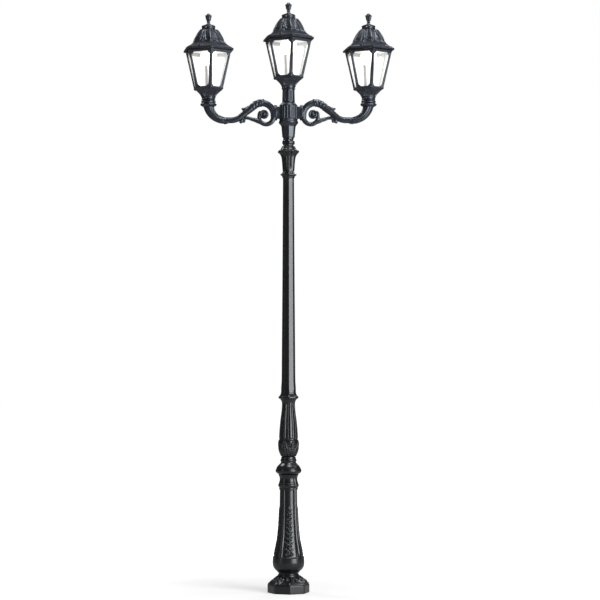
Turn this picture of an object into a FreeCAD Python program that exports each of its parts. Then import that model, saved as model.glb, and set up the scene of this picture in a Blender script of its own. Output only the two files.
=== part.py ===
import FreeCAD, Part
import math
import os
import re
import Sketcher

# A triple head lamp post. Millimetres, +Z up, origin on the ground at the post's axis.
# The viewer stands on the -Y side, and the two arms reach out along X.

SIZES = {
    # Ground fixing
    "plate_width": 190,
    "plate_thickness": 12,
    "plate_corner": 14,
    "anchor_circle": 220,
    "anchor_hole_radius": 9,
    "cable_hole_radius": 22,
    "gusset_height": 56,
    "gusset_thickness": 6,
    "pole_radius": 30,
    "pole_wall": 3.5,
    "pole_into_hub": 104,
    "bore_gap": 0.4,
    "casting_wall": 6,
    # Foot cover
    "foot_radius": 152,
    "plinth_height": 66,
    "foot_slope_top": 128,
    "foot_neck_radius": 75,
    "foot_height": 148,
    # Base column with its bulb, panels and lower ring
    "bulb_root_radius": 80,
    "bulb_radius": 112.5,
    "bulb_low": 50,
    "bulb_high": 104,
    "panel_waist_radius": 76,
    "panel_waist_height": 312,
    "panel_top_radius": 59.5,
    "panel_gap": 19,
    "lower_ring_radius": 70.4,
    "lower_ring_drop": 77,
    "lower_ring_half": 18,
    "base_neck_radius": 60,
    "base_top_radius": 70,
    "base_height": 712,
    # Cushion ring with its bead
    "cushion_radius": 90.7,
    "cushion_low": 22,
    "cushion_high": 40,
    "cushion_shoulder_radius": 73,
    "cushion_shoulder": 66,
    "bead_neck_radius": 50,
    "bead_low": 90,
    "bead_radius": 54,
    "bead_high": 120,
    "cushion_height": 128,
    # Baluster with its leaf cup and flutes
    "calyx_root_radius": 50,
    "calyx_radius": 73.8,
    "calyx_belly": 76,
    "calyx_tip": 118,
    "baluster_radius": 66,
    "baluster_waist_radius": 45,
    "baluster_waist": 379,
    "baluster_top_radius": 62,
    "baluster_height": 423,
    "baluster_flutes": 8,
    "flute_depth": 4,
    # Ring under the shaft
    "shaft_ring_radius": 71,
    "shaft_ring_low": 4,
    "shaft_ring_high": 16,
    "shaft_ring_height": 64,
    # Tapered shaft with eight sides
    "shaft_sides": 8,
    "shaft_turn": 4,
    "shaft_foot_radius": 51,
    "shaft_top_radius": 41,
    "shaft_length": 1544,
    # Collar on the shaft
    "collar_radius": 59.7,
    "collar_bead_height": 36,
    "collar_height": 56,
    # Capital, a vase with eight sides under a spread rim
    "capital_foot_radius": 41.5,
    "capital_throat_radius": 48,
    "capital_throat": 84,
    "capital_flare_radius": 60,
    "capital_flare": 122,
    "capital_rim_radius": 78.5,
    "capital_rim_low": 138,
    "capital_rim_high": 152,
    "capital_height": 180,
    # Ring between the capital and the hub
    "throat_radius": 37,
    "throat_ring_radius": 44.5,
    "throat_ring_low": 24,
    "throat_ring_high": 42,
    "throat_height": 64,
    # Hub that carries the arms
    "sleeve_foot_radius": 42.5,
    "sleeve_top_radius": 52,
    "sleeve_height": 84,
    "drum_lip_radius": 71,
    "drum_lip": 112,
    "drum_radius": 66,
    "drum_foot": 126,
    "drum_top": 236,
    "drum_flutes": 20,
    "drum_flute_radius": 4,
    "hub_shoulder_radius": 52,
    "hub_height": 254,
    "drum_wall": 9,
    # Neck that carries the middle lantern
    "neck_foot_radius": 46,
    "neck_top_radius": 43.5,
    "neck_height": 97,
    "spigot_radius": 30,
    "spigot_height": 52,
    "neck_stub_radius": 34,
    "neck_stub_height": 30,
    # Arms
    "arm_reach": 584,
    "arm_drop": 80,
    "arm_tube_radius": 24.5,
    "arm_cup_stem_radius": 37,
    "hump_radius": 86,
    "hump_centre_out": 197,
    "hump_centre_up": 163,
    "arm_slope": 41,
    "valley_radius": 117,
    "valley_up": 126,
    "scroll_tube_radius": 15,
    "scroll_radius": 52,
    "scroll_up": 150,
    "curl_radius": 27,
    "curl_up": 168,
    "curl_eye_radius": 23,
    "tendril_radius": 8,
    "tendril_bud_radius": 15,
    "tendril_out": 338,
    "tendril_up": 122,
    "arm_root_height": 92,
    "arm_root_depth": 50,
    "arm_root_out": 108,
    "arm_cup_radius": 51,
    "arm_cup_height": 18,
    "arm_ring_radius": 59.5,
    "arm_ring_drop": 29,
    "arm_cup_root_drop": 47,
    "arm_bolt_radius": 5,
    "arm_bolt_head_radius": 8,
    "arm_bolt_head": 6,
    "arm_bolt_length": 44,
    "arm_washer": 4,
    "arm_bolt_spacing": 50,
    # Grub and cap screws
    "grub_radius": 4,
    "grub_depth": 2,
    "screw_radius": 2.5,
    "screw_head_radius": 5,
    "screw_head": 3,
    "screw_length": 10,
    # Lantern socket cup
    "lantern_turn": 69.5,
    "cup_collar_radius": 49.5,
    "cup_collar": 22,
    "cup_waist_radius": 61,
    "cup_waist": 46,
    "cup_rim_radius": 99,
    "cup_height": 83,
    "cup_bore": 62,
    "cup_wall": 4,
    # Lantern cage
    "cage_foot_radius": 113,
    "cage_top_radius": 176,
    "cage_height": 261,
    "cage_wall": 7,
    "cage_lip": 6,
    "rail_height": 8,
    "head_rail_height": 6,
    "flange_lip": 5,
    "flange_height": 12,
    "flange_ledge": 13.67,
    "bar_width": 12,
    "ear_radius": 15,
    "pane_thickness": 3,
    "pane_corner_gap": 14,
    "gasket_inset": 12,
    "gasket_width": 5,
    "gasket_height": 3,
    "body_gap": 0.3,
    # Lantern roof
    "eave_overhang": 19,
    "eave_height": 12,
    "skirt_radius": 150,
    "skirt_height": 42,
    "dome_foot_radius": 127,
    "dome_foot": 60,
    "crown_radius": 60,
    "dome_height": 161,
    "roof_wall": 3,
    "crown_boss_radius": 45,
    "crown_boss_height": 18,
    "roof_opening": 138,
    # Lamp and reflector
    "reflector_radius": 150,
    "reflector_neck_radius": 52,
    "reflector_height": 34,
    "reflector_wall": 2,
    "holder_radius": 24,
    "holder_length": 48,
    "nipple_radius": 6.5,
    "lamp_radius": 60,
    "lamp_drop": 46,
    "lamp_neck_radius": 17,
    # Crown cap and finial
    "cap_radius": 51,
    "cap_skirt": 26,
    "cap_height": 32,
    "finial_stem_radius": 10,
    "finial_stem": 14,
    "finial_ring_radius": 16,
    "finial_ring": 20,
    "finial_bud_radius": 24.5,
    "finial_bud": 62,
    "finial_height": 83,
    # Hinge and latch
    "hinge_radius": 5.5,
    "hinge_pin_radius": 2.5,
    "hinge_play": 0.05,
    "hinge_out": 1,
    "hinge_up": 2.6,
    "hinge_knuckle": 30,
    "hinge_side_knuckle": 12,
    "latch_in": 22,
    "latch_shank_radius": 3,
    "latch_play": 0.08,
    "latch_hole_radius": 4,
    "latch_depth": 9,
    "latch_knob_radius": 9,
    "latch_knob_height": 12,
    "latch_seat": 9,
    "latch_pocket": 3,
}

doc = FreeCAD.newDocument("TripleHeadLampPost")
sheet = doc.addObject("Spreadsheet::Sheet", "Sizes")
for row, (name, number) in enumerate(SIZES.items(), 1):
    sheet.set("A" + str(row), name)
    sheet.set("B" + str(row), str(number))
    sheet.setAlias("B" + str(row), name)
doc.recompute()

Vector = FreeCAD.Vector
UP = Vector(0, 0, 1)
ALONG_Y = Vector(0, 1, 0)
PARTS = []


def formula(text):
    """The text as an expression, with each named size read from the sheet."""
    return re.sub(r"[a-z][a-z_]*", lambda word: "Sizes." + word[0] if word[0] in SIZES else word[0],
                  str(text))


def value(text):
    """The number that a formula gives now."""
    return float(sheet.evalExpression(formula(text)))


def bind(item, **sizes):
    """Bind properties of an object to formulas; x, y, z and turn are its placement."""
    places = {"x": "Placement.Base.x", "y": "Placement.Base.y", "z": "Placement.Base.z"}
    for name, text in sizes.items():
        item.setExpression(places.get(name, name), formula(text))
    return item


def turned_by(item, angle, axis=UP):
    """Turn an object about an axis through its own origin."""
    item.Placement = FreeCAD.Placement(item.Placement.Base, FreeCAD.Rotation(axis, 1))
    item.setExpression("Placement.Rotation.Angle", formula(angle))
    return item


def part(label, item, x=0, z=0, turn=0):
    """Name a finished piece and put it in its place."""
    item.Label = label
    turned_by(item, turn)
    bind(item, x=x, z=z)
    PARTS.append(item)
    return item


def bulged(first, last, bulge):
    """An arc between two points that stands out to the right by a share of its chord."""
    along = last - first
    middle = (first + last) * 0.5 + Vector(along.y, -along.x, 0) * bulge
    whole = Part.Circle(first, middle, last)
    turn = math.copysign(1, (middle - first).cross(last - middle).z)
    centre = whole.Center
    start, end = (first, last) if turn > 0 else (last, first)
    angles = [math.atan2(point.y - centre.y, point.x - centre.x) for point in (start, end)]
    if angles[1] < angles[0]:
        angles[1] += 2 * math.pi
    circle = Part.Circle(Vector(centre.x, centre.y, 0), UP, whole.Radius)
    return Part.ArcOfCircle(circle, angles[0], angles[1]), 1 if turn > 0 else 2


def draw(sketch, outline, closed=True):
    """Draw an outline of (across, up, bulge) points, each held by formulas.

    A point's bulge belongs to the stretch that leads on from it.
    """
    corners = [Vector(value(point[0]), value(point[1]), 0) for point in outline]
    count = len(outline) if closed else len(outline) - 1
    strokes, starts, holds, texts = [], [], [], {}
    for index in range(count):
        first, last = corners[index], corners[(index + 1) % len(outline)]
        bulge = outline[index][2] if len(outline[index]) > 2 else 0
        if not bulge:
            strokes.append(Part.LineSegment(first, last))
            starts.append(1)
            continue
        arc, start = bulged(first, last, bulge)
        strokes.append(arc)
        starts.append(start)
        here, there = outline[index], outline[(index + 1) % len(outline)]
        chord = f"sqrt((({there[0]}) - ({here[0]}))^2 + (({there[1]}) - ({here[1]}))^2)"
        share = (1 + 4 * bulge ** 2) / (8 * abs(bulge))
        texts[len(holds)] = f"{chord} * {share:.9f}"
        holds.append(Sketcher.Constraint("Radius", index, arc.Radius))
    for index in range(0 if closed else 1, count):
        before = index - 1 if index else count - 1
        holds.append(Sketcher.Constraint("Coincident", before, 3 - starts[before], index, starts[index]))
    for index, point in enumerate(outline):
        place = (index, starts[index]) if index < count else (index - 1, 3 - starts[index - 1])
        for kind, text, axis in (("DistanceX", point[0], -2), ("DistanceY", point[1], -1)):
            if text == 0:
                holds.append(Sketcher.Constraint("PointOnObject", *place, axis))
                continue
            texts[len(holds)] = text
            holds.append(Sketcher.Constraint(kind, -1, 1, *place, value(text)))
    sketch.addGeometry(strokes, False)
    sketch.addConstraint(holds)
    for hold, text in texts.items():
        sketch.setExpression(f"Constraints[{hold}]", formula(text))
    return sketch


def origin_plane(body, role):
    return [plane for plane in body.Origin.OriginFeatures if plane.Role == role]


def body_sketch(body, name, role):
    sketch = body.newObject("Sketcher::SketchObject", name)
    sketch.AttachmentSupport = [(origin_plane(body, role)[0], "")]
    sketch.MapMode = "FlatFace"
    return sketch


def turned(name, outline):
    """A body turned about Z from an outline of (radius, height, bulge) points."""
    body = doc.addObject("PartDesign::Body", name)
    sketch = draw(body_sketch(body, name + "_outline", "XZ_Plane"), outline)
    turning = body.newObject("PartDesign::Revolution", name + "_turning")
    turning.Profile = sketch
    turning.ReferenceAxis = (sketch, ["V_Axis"])
    turning.Angle = 360
    sketch.Visibility = False
    return body


def free_sketch(name, outline, angle=0, closed=True):
    """A sketch on an upright plane through the axis, turned by an angle about Z."""
    sketch = doc.addObject("Sketcher::SketchObject", name)
    flat = FreeCAD.Rotation(Vector(1, 0, 0), 90)
    sketch.Placement = FreeCAD.Placement(Vector(), FreeCAD.Rotation(UP, angle) * flat)
    return draw(sketch, outline, closed)


def polygon(name, sides, radius, height, angle=0):
    shape = doc.addObject("Part::RegularPolygon", name)
    shape.Placement = FreeCAD.Placement(Vector(), FreeCAD.Rotation(UP, angle))
    return bind(shape, Polygon=sides, Circumradius=radius, z=height)


def loft(name, sides, stations, ruled=True, angle=0):
    """A solid through regular polygons, given as (corner radius, height) stations."""
    shape = doc.addObject("Part::Loft", name)
    shape.Sections = [
        polygon(f"{name}_{index}", sides, radius, height, angle) for index,
        (radius, height) in enumerate(stations)
    ]
    shape.Solid = True
    shape.Ruled = ruled
    return shape


def cylinder(name, radius, height, x=0, y=0, z=0):
    return bind(doc.addObject("Part::Cylinder", name), Radius=radius, Height=height, x=x, y=y, z=z)


def rod(name, radius, length, direction, x=0, y=0, z=0):
    """A cylinder that lies along a direction."""
    shape = cylinder(name, radius, length)
    shape.Placement.Rotation = FreeCAD.Rotation(UP, direction)
    return bind(shape, x=x, y=y, z=z)


def box(name, length, width, height, x, y, z):
    return bind(doc.addObject("Part::Box", name), Length=length, Width=width, Height=height, x=x, y=y, z=z)


def cut(name, base, tool):
    shape = doc.addObject("Part::Cut", name)
    shape.Base, shape.Tool = base, tool
    return shape


def fuse(name, *pieces):
    shape = doc.addObject("Part::MultiFuse", name)
    shape.Shapes = list(pieces)
    return shape


def group(name, *pieces):
    shape = doc.addObject("Part::Compound", name)
    shape.Links = list(pieces)
    return shape


def outward(angle):
    """The level direction at an angle about Z."""
    return Vector(math.cos(math.radians(angle)), math.sin(math.radians(angle)), 0)


def around(name, count, make):
    """A group of copies spaced evenly about Z; make builds the copy at an angle."""
    return group(name, *[make(f"{name}_{index}", 360 * index / count) for index in range(count)])


BORE = "(pole_radius + bore_gap)"

# Heights of the seats between the stacked pieces
BASE_FOOT = "(foot_height)"
CUSHION_FOOT = f"({BASE_FOOT} + base_height)"
BALUSTER_FOOT = f"({CUSHION_FOOT} + cushion_height)"
SHAFT_RING_FOOT = f"({BALUSTER_FOOT} + baluster_height)"
SHAFT_FOOT = f"({SHAFT_RING_FOOT} + shaft_ring_height)"
COLLAR_FOOT = f"({SHAFT_FOOT} + shaft_length)"
CAPITAL_FOOT = f"({COLLAR_FOOT} + collar_height)"
THROAT_FOOT = f"({CAPITAL_FOOT} + capital_height)"
HUB_FOOT = f"({THROAT_FOOT} + throat_height)"
NECK_FOOT = f"({HUB_FOOT} + hub_height)"
MIDDLE_SEAT = f"({NECK_FOOT} + neck_height)"
SIDE_SEAT = f"({MIDDLE_SEAT} - arm_drop)"
POLE_TOP = f"({HUB_FOOT} + pole_into_hub)"
CUP_ROOT = f"({SIDE_SEAT} - {HUB_FOOT} - arm_cup_root_drop)"


def ground_plate():
    """The steel plate under the post, with four anchor holes and a cable hole."""
    body = doc.addObject("PartDesign::Body", "ground_plate")
    half = "(plate_width / 2)"
    inner = "(plate_width / 2 - plate_corner)"
    outline = body_sketch(body, "plate_outline", "XY_Plane")
    corner = (math.sqrt(2) - 1) / 2
    draw(outline, [
        (inner, f"-{half}", corner), (half, f"-{inner}"), (half, inner, corner), (inner, half),
        (f"-{inner}", half, corner), (f"-{half}", inner), (f"-{half}", f"-{inner}", corner),
        (f"-{inner}", f"-{half}"),
    ])
    pad = body.newObject("PartDesign::Pad", "plate_pad")
    pad.Profile = outline
    bind(pad, Length="plate_thickness")
    for name, radius, out in (("anchor", "anchor_hole_radius", "anchor_circle / sqrt(8)"),
                              ("cable", "cable_hole_radius", 0)):
        sketch = body_sketch(body, name + "_circle", "XY_Plane")
        centre = value(out)
        sketch.addGeometry(Part.Circle(Vector(centre, centre, 0), UP, value(radius)), False)
        hold = sketch.addConstraint(Sketcher.Constraint("Radius", 0, value(radius)))
        sketch.setExpression(f"Constraints[{hold}]", formula(radius))
        if out:
            for kind in ("DistanceX", "DistanceY"):
                hold = sketch.addConstraint(Sketcher.Constraint(kind, -1, 1, 0, 3, centre))
                sketch.setExpression(f"Constraints[{hold}]", formula(out))
        else:
            sketch.addConstraint(Sketcher.Constraint("Coincident", 0, 3, -1, 1))
        pocket = body.newObject("PartDesign::Pocket", name + "_hole")
        pocket.Profile = sketch
        pocket.Type = "ThroughAll"
        pocket.Reversed = True
        if out:
            ring = body.newObject("PartDesign::PolarPattern", "anchor_holes")
            ring.Originals = [pocket]
            ring.Axis = (sketch, ["N_Axis"])
            ring.Angle = 360
            ring.Occurrences = 4
            body.Tip = ring
        else:
            body.Tip = pocket
    part("ground_plate", body)


def pole():
    """The steel tube that stands on the plate and carries every casting."""
    length = f"({POLE_TOP} - plate_thickness)"
    tube = cut("pole_cut", cylinder("pole_outside", "pole_radius", length),
               cylinder("pole_inside", "pole_radius - pole_wall", length))
    part("pole", tube, z="plate_thickness")


def plate_gussets():
    """Four ribs between the plate and the pole."""
    out = "(plate_width / 2 - plate_corner)"

    def rib(name, angle):
        outline = free_sketch(name + "_outline", [
            ("pole_radius", 0), (out, 0), (out, "gusset_height / 6"), ("pole_radius", "gusset_height"),
        ], angle)
        shape = doc.addObject("Part::Extrusion", name)
        shape.Base, shape.DirMode, shape.Symmetric, shape.Solid = outline, "Normal", True, True
        return bind(shape, LengthFwd="gusset_thickness")

    part("plate_gussets", around("gusset", 4, rib), z="plate_thickness")


def foot_cover():
    """The plinth with eight sides, sloping up to a round neck."""
    inner_neck = "(foot_neck_radius - casting_wall)"
    inner_foot = "(foot_radius * cos(22.5 deg) - casting_wall)"
    under_top = "(foot_height - casting_wall)"
    form = turned("foot_form", [
        (inner_foot, 0), ("foot_radius + 5", 0), ("foot_radius + 5", "plinth_height - 4", 0.06),
        ("foot_neck_radius", "foot_slope_top"), ("foot_neck_radius", "foot_height"), (BORE, "foot_height"),
        (BORE, under_top), (inner_neck, under_top), (inner_neck, "foot_slope_top - casting_wall", -0.06),
        (inner_foot, "plinth_height - 4 - casting_wall"),
    ])
    prism = bind(doc.addObject("Part::Prism", "foot_prism"), Polygon="shaft_sides",
                 Circumradius="foot_radius", Height="foot_height")
    foot = doc.addObject("Part::Common", "foot_common")
    foot.Base, foot.Tool = form, prism
    part("foot_cover", foot)


def base_column():
    """The bulb, the tapering panel stretch and the ring above it, hollow inside."""
    ring = "(base_height - lower_ring_drop)"
    low, high = f"({ring} - lower_ring_half)", f"({ring} + lower_ring_half * 1.2)"
    panel_top = f"({low} - panel_gap)"
    top = "(base_height - casting_wall)"
    body = turned("base_form", [
        ("bulb_root_radius", 0, 0.16), ("bulb_radius", "bulb_low", 0.03), ("bulb_radius", "bulb_high", 0.05),
        ("panel_waist_radius", "panel_waist_height", -0.03), ("panel_top_radius", panel_top),
        ("panel_top_radius", low), ("lower_ring_radius - 4", low, 0.4), ("lower_ring_radius - 4", high),
        ("base_neck_radius", high, -0.1), ("base_top_radius", "base_height"), (BORE, "base_height"),
        (BORE, top),
        ("panel_top_radius - casting_wall", top), ("panel_top_radius - casting_wall", panel_top, 0.03),
        ("panel_waist_radius - casting_wall", "panel_waist_height", -0.05),
        ("bulb_radius - casting_wall", "bulb_high", -0.03), ("bulb_radius - casting_wall", "bulb_low", -0.16),
        ("bulb_root_radius - casting_wall", 0),
    ])
    part("base_column", body, z=BASE_FOOT)


def cushion_ring():
    """The wide ring and the bead over it."""
    body = turned("cushion_form", [
        ("base_top_radius", 0), ("cushion_radius - 3", "cushion_low", 0.2),
        ("cushion_radius - 3", "cushion_high", 0.08),
        ("cushion_shoulder_radius", "cushion_shoulder", -0.12), ("bead_neck_radius", "bead_low"),
        ("bead_radius - 3", "bead_low + 6", 0.3), ("bead_radius - 3", "bead_high - 6"),
        ("bead_neck_radius", "bead_high"),
        ("calyx_root_radius", "cushion_height"), (BORE, "cushion_height"), (BORE, 0),
    ])
    part("cushion_ring", body, z=CUSHION_FOOT)


def baluster():
    """The leaf cup and the fluted stretch that narrows to the ring."""
    body = turned("baluster_form", [
        ("calyx_root_radius", 0, 0.12), ("calyx_radius", "calyx_belly", 0.08),
        ("calyx_radius - 4", "calyx_tip"),
        ("baluster_radius", "calyx_tip + 4", -0.03), ("baluster_waist_radius", "baluster_waist", -0.12),
        ("baluster_top_radius", "baluster_height"), (BORE, "baluster_height"), (BORE, 0),
    ])
    rise = "(baluster_waist - calyx_tip - 30)"
    lean = math.atan2(value("baluster_radius - baluster_waist_radius"), value("baluster_waist - calyx_tip"))

    def flute(name, angle):
        inward = FreeCAD.Rotation(UP, angle).multVec(Vector(-math.sin(lean), 0, math.cos(lean)))
        reach = "(baluster_radius - flute_depth + flute_depth * 2.2)"
        return rod(name, "flute_depth * 2.2", rise, inward, f"{reach} * cos({angle} deg)",
                   f"{reach} * sin({angle} deg)", "calyx_tip + 20")

    flutes = around("baluster_flute", int(value("baluster_flutes")), flute)
    part("baluster", cut("baluster_cut", body, flutes), z=BALUSTER_FOOT,
         turn="shaft_turn + 180 / baluster_flutes")


def shaft_ring():
    """The ring that the shaft stands in."""
    body = turned("shaft_ring_form", [
        ("baluster_top_radius", 0), ("shaft_ring_radius - 2", "shaft_ring_low", 0.2),
        ("shaft_ring_radius - 2", "shaft_ring_high", -0.12),
        ("shaft_foot_radius + 1", "shaft_ring_height - 12"), ("shaft_foot_radius + 1", "shaft_ring_height"),
        (BORE, "shaft_ring_height"), (BORE, 0),
    ])
    part("shaft_ring", body, z=SHAFT_RING_FOOT)


def shaft():
    """The long tapered shaft with eight sides."""
    form = loft("shaft_form", "shaft_sides", [("shaft_foot_radius", 0), ("shaft_top_radius", "shaft_length")])
    bore = cylinder("shaft_bore", BORE, "shaft_length")
    part("shaft", cut("shaft_cut", form, bore), z=SHAFT_FOOT, turn="shaft_turn")


def shaft_collar():
    """The collar that ends the shaft."""
    body = turned("collar_form", [
        ("shaft_top_radius + 2", 0, -0.1), ("collar_radius - 9", "collar_bead_height - 10"),
        ("collar_radius - 3", "collar_bead_height - 6", 0.35),
        ("collar_radius - 3", "collar_bead_height + 3", -0.1),
        ("capital_foot_radius + 1", "collar_height - 8"),
        ("capital_foot_radius + 1", "collar_height"), (BORE, "collar_height"), (BORE, 0),
    ])
    part("shaft_collar", body, z=COLLAR_FOOT)


def capital():
    """The vase with eight sides, its spread rim and the slope above it."""
    form = loft("capital_form", "shaft_sides", [
        ("capital_foot_radius", 0), ("capital_throat_radius", "capital_throat"),
        ("capital_flare_radius", "capital_flare"),
        ("capital_rim_radius", "capital_rim_low"), ("capital_rim_radius", "capital_rim_high"),
        ("throat_radius + 14", "capital_height - 12"), ("throat_radius + 8", "capital_height"),
    ])
    bore = cylinder("capital_bore", BORE, "capital_height")
    part("capital", cut("capital_cut", form, bore), z=CAPITAL_FOOT, turn="shaft_turn")


def throat_ring():
    """The short neck with a ring, under the hub."""
    body = turned("throat_form", [
        ("throat_radius + 6", 0, -0.2), ("throat_radius", "throat_ring_low - 8"),
        ("throat_ring_radius - 1", "throat_ring_low", 0.1),
        ("throat_ring_radius - 1", "throat_ring_high"), ("throat_radius", "throat_ring_high + 8"),
        ("throat_radius + 1", "throat_height"), (BORE, "throat_height"), (BORE, 0),
    ])
    part("throat_ring", body, z=THROAT_FOOT)


def hub():
    """The sleeve on the pole and the fluted drum that the arms are bolted to."""
    inside = "(drum_radius - drum_wall)"
    stub_top = "(hub_height + neck_stub_height)"
    stub_inside = "(neck_stub_radius - casting_wall)"
    form = turned("hub_form", [
        ("sleeve_foot_radius", 0), ("sleeve_top_radius", "sleeve_height", -0.1),
        ("drum_lip_radius - 2", "drum_lip - 3", 0.3),
        ("drum_lip_radius - 2", "drum_lip + 3"), ("drum_radius", "drum_foot"),
        ("drum_radius", "drum_top", 0.12),
        ("hub_shoulder_radius", "hub_height"), ("neck_stub_radius", "hub_height"),
        ("neck_stub_radius", stub_top),
        (stub_inside, stub_top), (stub_inside, "drum_top"), (inside, "drum_top - 6"),
        (inside, "drum_foot"), (BORE, "pole_into_hub"), (BORE, 0),
    ])

    def flute(name, angle):
        radius = "drum_radius + drum_flute_radius * 0.55"
        return cylinder(name, "drum_flute_radius", "drum_top - drum_foot - 8",
                        f"({radius}) * cos({angle} deg)",
                        f"({radius}) * sin({angle} deg)", "drum_foot + 4")

    flutes = around("drum_flute", int(value("drum_flutes")), flute)
    holes = [arm_bolt(f"hub_bolt_hole_{index}", side, rise, True) for index,
             (side, rise) in enumerate(BOLT_PLACES)]
    grubs = [grub(f"hub_grub_hole_{index}", angle, BORE, "(sleeve_foot_radius + 5)", HUB_GRUB_UP) for index,
             angle in enumerate(GRUB_ANGLES)]
    part("hub", cut("hub_cut", form, group("hub_cutters", flutes, *holes, *grubs)), z=HUB_FOOT)


BOLT_PLACES = [(side, rise) for side in (1, -1) for rise in (0.5, -0.5)]
BOLT_UP = "((drum_foot + drum_top) / 2)"
WASHER_RADIUS = "(arm_bolt_head_radius + 2)"
HUB_GRUB_UP = "(sleeve_height / 2)"
NECK_GRUB_UP = "(neck_stub_height / 2 + 6)"
GRUB_ANGLES = (-68, 52, 172)


def arm_bolt(name, side, rise, hole=False):
    """A bolt from inside the drum into an arm's root, or the hole for its shank."""
    way = Vector(side, 0, 0)
    start = f"sqrt((drum_radius - drum_wall)^2 - {WASHER_RADIUS}^2)"
    up = f"{BOLT_UP} + arm_bolt_spacing * {rise}"
    shank = rod(name + "_shank", "arm_bolt_radius", "arm_bolt_length", way, f"{start} * {side}", 0, up)
    if hole:
        return shank
    washer_start = f"({start} - arm_washer)"
    washer = rod(name + "_washer", WASHER_RADIUS, "arm_washer", way, f"{washer_start} * {side}", 0, up)
    head = rod(name + "_head", "arm_bolt_head_radius", "arm_bolt_head", way,
               f"({washer_start} - arm_bolt_head) * {side}", 0, up)
    return fuse(name, shank, head, washer)


def grub(name, angle, inner, outer, up, extra=0):
    """A radial set screw between two radii, or the hole that it sits in."""
    x, y = f"({inner}) * cos({angle} deg)", f"({inner}) * sin({angle} deg)"
    return rod(name, "grub_radius", f"({outer}) - ({inner}) + {extra}", outward(angle), x, y, up)


def arm_bolts():
    """Four bolts that hold the arms, two to each arm."""
    bolts = [arm_bolt(f"arm_bolt_{index}", side, rise) for index, (side, rise) in enumerate(BOLT_PLACES)]
    part("arm_bolts", group("arm_bolt_set", *bolts), z=HUB_FOOT)


def hub_screws():
    """Six set screws: three clamp the hub on the pole, three clamp the neck on its stub."""
    low = [grub(f"hub_screw_{index}", angle, BORE, "(sleeve_foot_radius - grub_depth)", HUB_GRUB_UP)
           for index, angle in enumerate(GRUB_ANGLES)]
    high = [grub(f"neck_screw_{index}", angle, "neck_stub_radius", "(neck_top_radius - grub_depth)",
                 f"hub_height + {NECK_GRUB_UP}")
            for index, angle in enumerate(GRUB_ANGLES)]
    part("hub_screws", group("hub_screw_set", *low, *high), z=HUB_FOOT)


def neck():
    """The tapered neck on the hub that ends in the middle lantern's spigot."""
    inside = "neck_stub_radius"
    form = turned("neck_form", [
        ("neck_foot_radius", 0), ("neck_top_radius", "neck_height"), ("spigot_radius", "neck_height"),
        ("spigot_radius", "neck_height + spigot_height"),
        ("spigot_radius - casting_wall", "neck_height + spigot_height"),
        ("spigot_radius - casting_wall", "neck_stub_height + 20"), (inside, "neck_stub_height"), (inside, 0),
    ])
    holes = [grub(f"neck_grub_hole_{index}", angle, "neck_stub_radius", "(neck_foot_radius + 5)",
                  NECK_GRUB_UP)
             for index, angle in enumerate(GRUB_ANGLES)]
    part("neck", cut("neck_cut", form, group("neck_grub_holes", *holes)), z=NECK_FOOT)


def path(name, outline, radius, start, direction):
    """A round bar swept along an open outline in the plane of the arms."""
    circle = doc.addObject("Part::Circle", name + "_section")
    circle.Placement.Rotation = FreeCAD.Rotation(UP, direction)
    bind(circle, Radius=radius, x=start[0], z=start[1])
    sweep = doc.addObject("Part::Sweep", name)
    sweep.Sections = [circle]
    sweep.Spine = (free_sketch(name + "_spine", outline, closed=False), [])
    sweep.Solid = True
    return sweep


def arc_points(name, centre, radius, angles):
    """Places on a circle, as formulas, for a list of angles in degrees."""
    return [(f"({centre[0]} + {radius} * cos(({angle}) * 1 deg))",
             f"({centre[1]} + {radius} * sin(({angle}) * 1 deg))")
            for angle in angles]


def sagitta(turn):
    """The bulge of an arc that turns by an angle in degrees; positive bulges to the right."""
    return math.tan(math.radians(turn) / 4) / 2


def arm_form():
    """One arm: a hump, a straight slope, a low run, an elbow up to the cup, and a scroll under the hump."""
    slope = value("arm_slope")
    hump = ("hump_centre_out", "hump_centre_up")
    hump_start, hump_end = arc_points("hump", hump, "hump_radius", ["180", "90 - arm_slope"])
    valley_centre_up = "(valley_up + valley_radius)"
    valley_start_up = f"({valley_centre_up} - valley_radius * cos(arm_slope * 1 deg))"
    run = f"(({hump_end[1]} - {valley_start_up}) / tan(arm_slope * 1 deg))"
    valley_start = (f"({hump_end[0]} + {run})", valley_start_up)
    valley_end = (f"({valley_start[0]} + valley_radius * sin(arm_slope * 1 deg))", "valley_up")
    elbow_start = (f"(arm_reach - ({CUP_ROOT} - valley_up))", "valley_up")
    elbow_end = ("arm_reach", CUP_ROOT)
    left_turn, right_turn = sagitta(-(90 + slope)), sagitta(90)
    main = path("arm_main", [
        (*hump_start, left_turn), hump_end, (*valley_start, sagitta(slope)), valley_end, elbow_start,
    ], "arm_tube_radius", hump_start, UP)
    elbow = path("arm_elbow", [(*elbow_start, right_turn), elbow_end], "arm_tube_radius", elbow_start,
                 Vector(1, 0, 0))
    wide = bind(doc.addObject("Part::Circle", "arm_elbow_wide"), Radius="arm_cup_stem_radius", x="arm_reach",
                z=CUP_ROOT)
    elbow.Sections = [elbow.Sections[0], wide]
    return main, elbow


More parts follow.
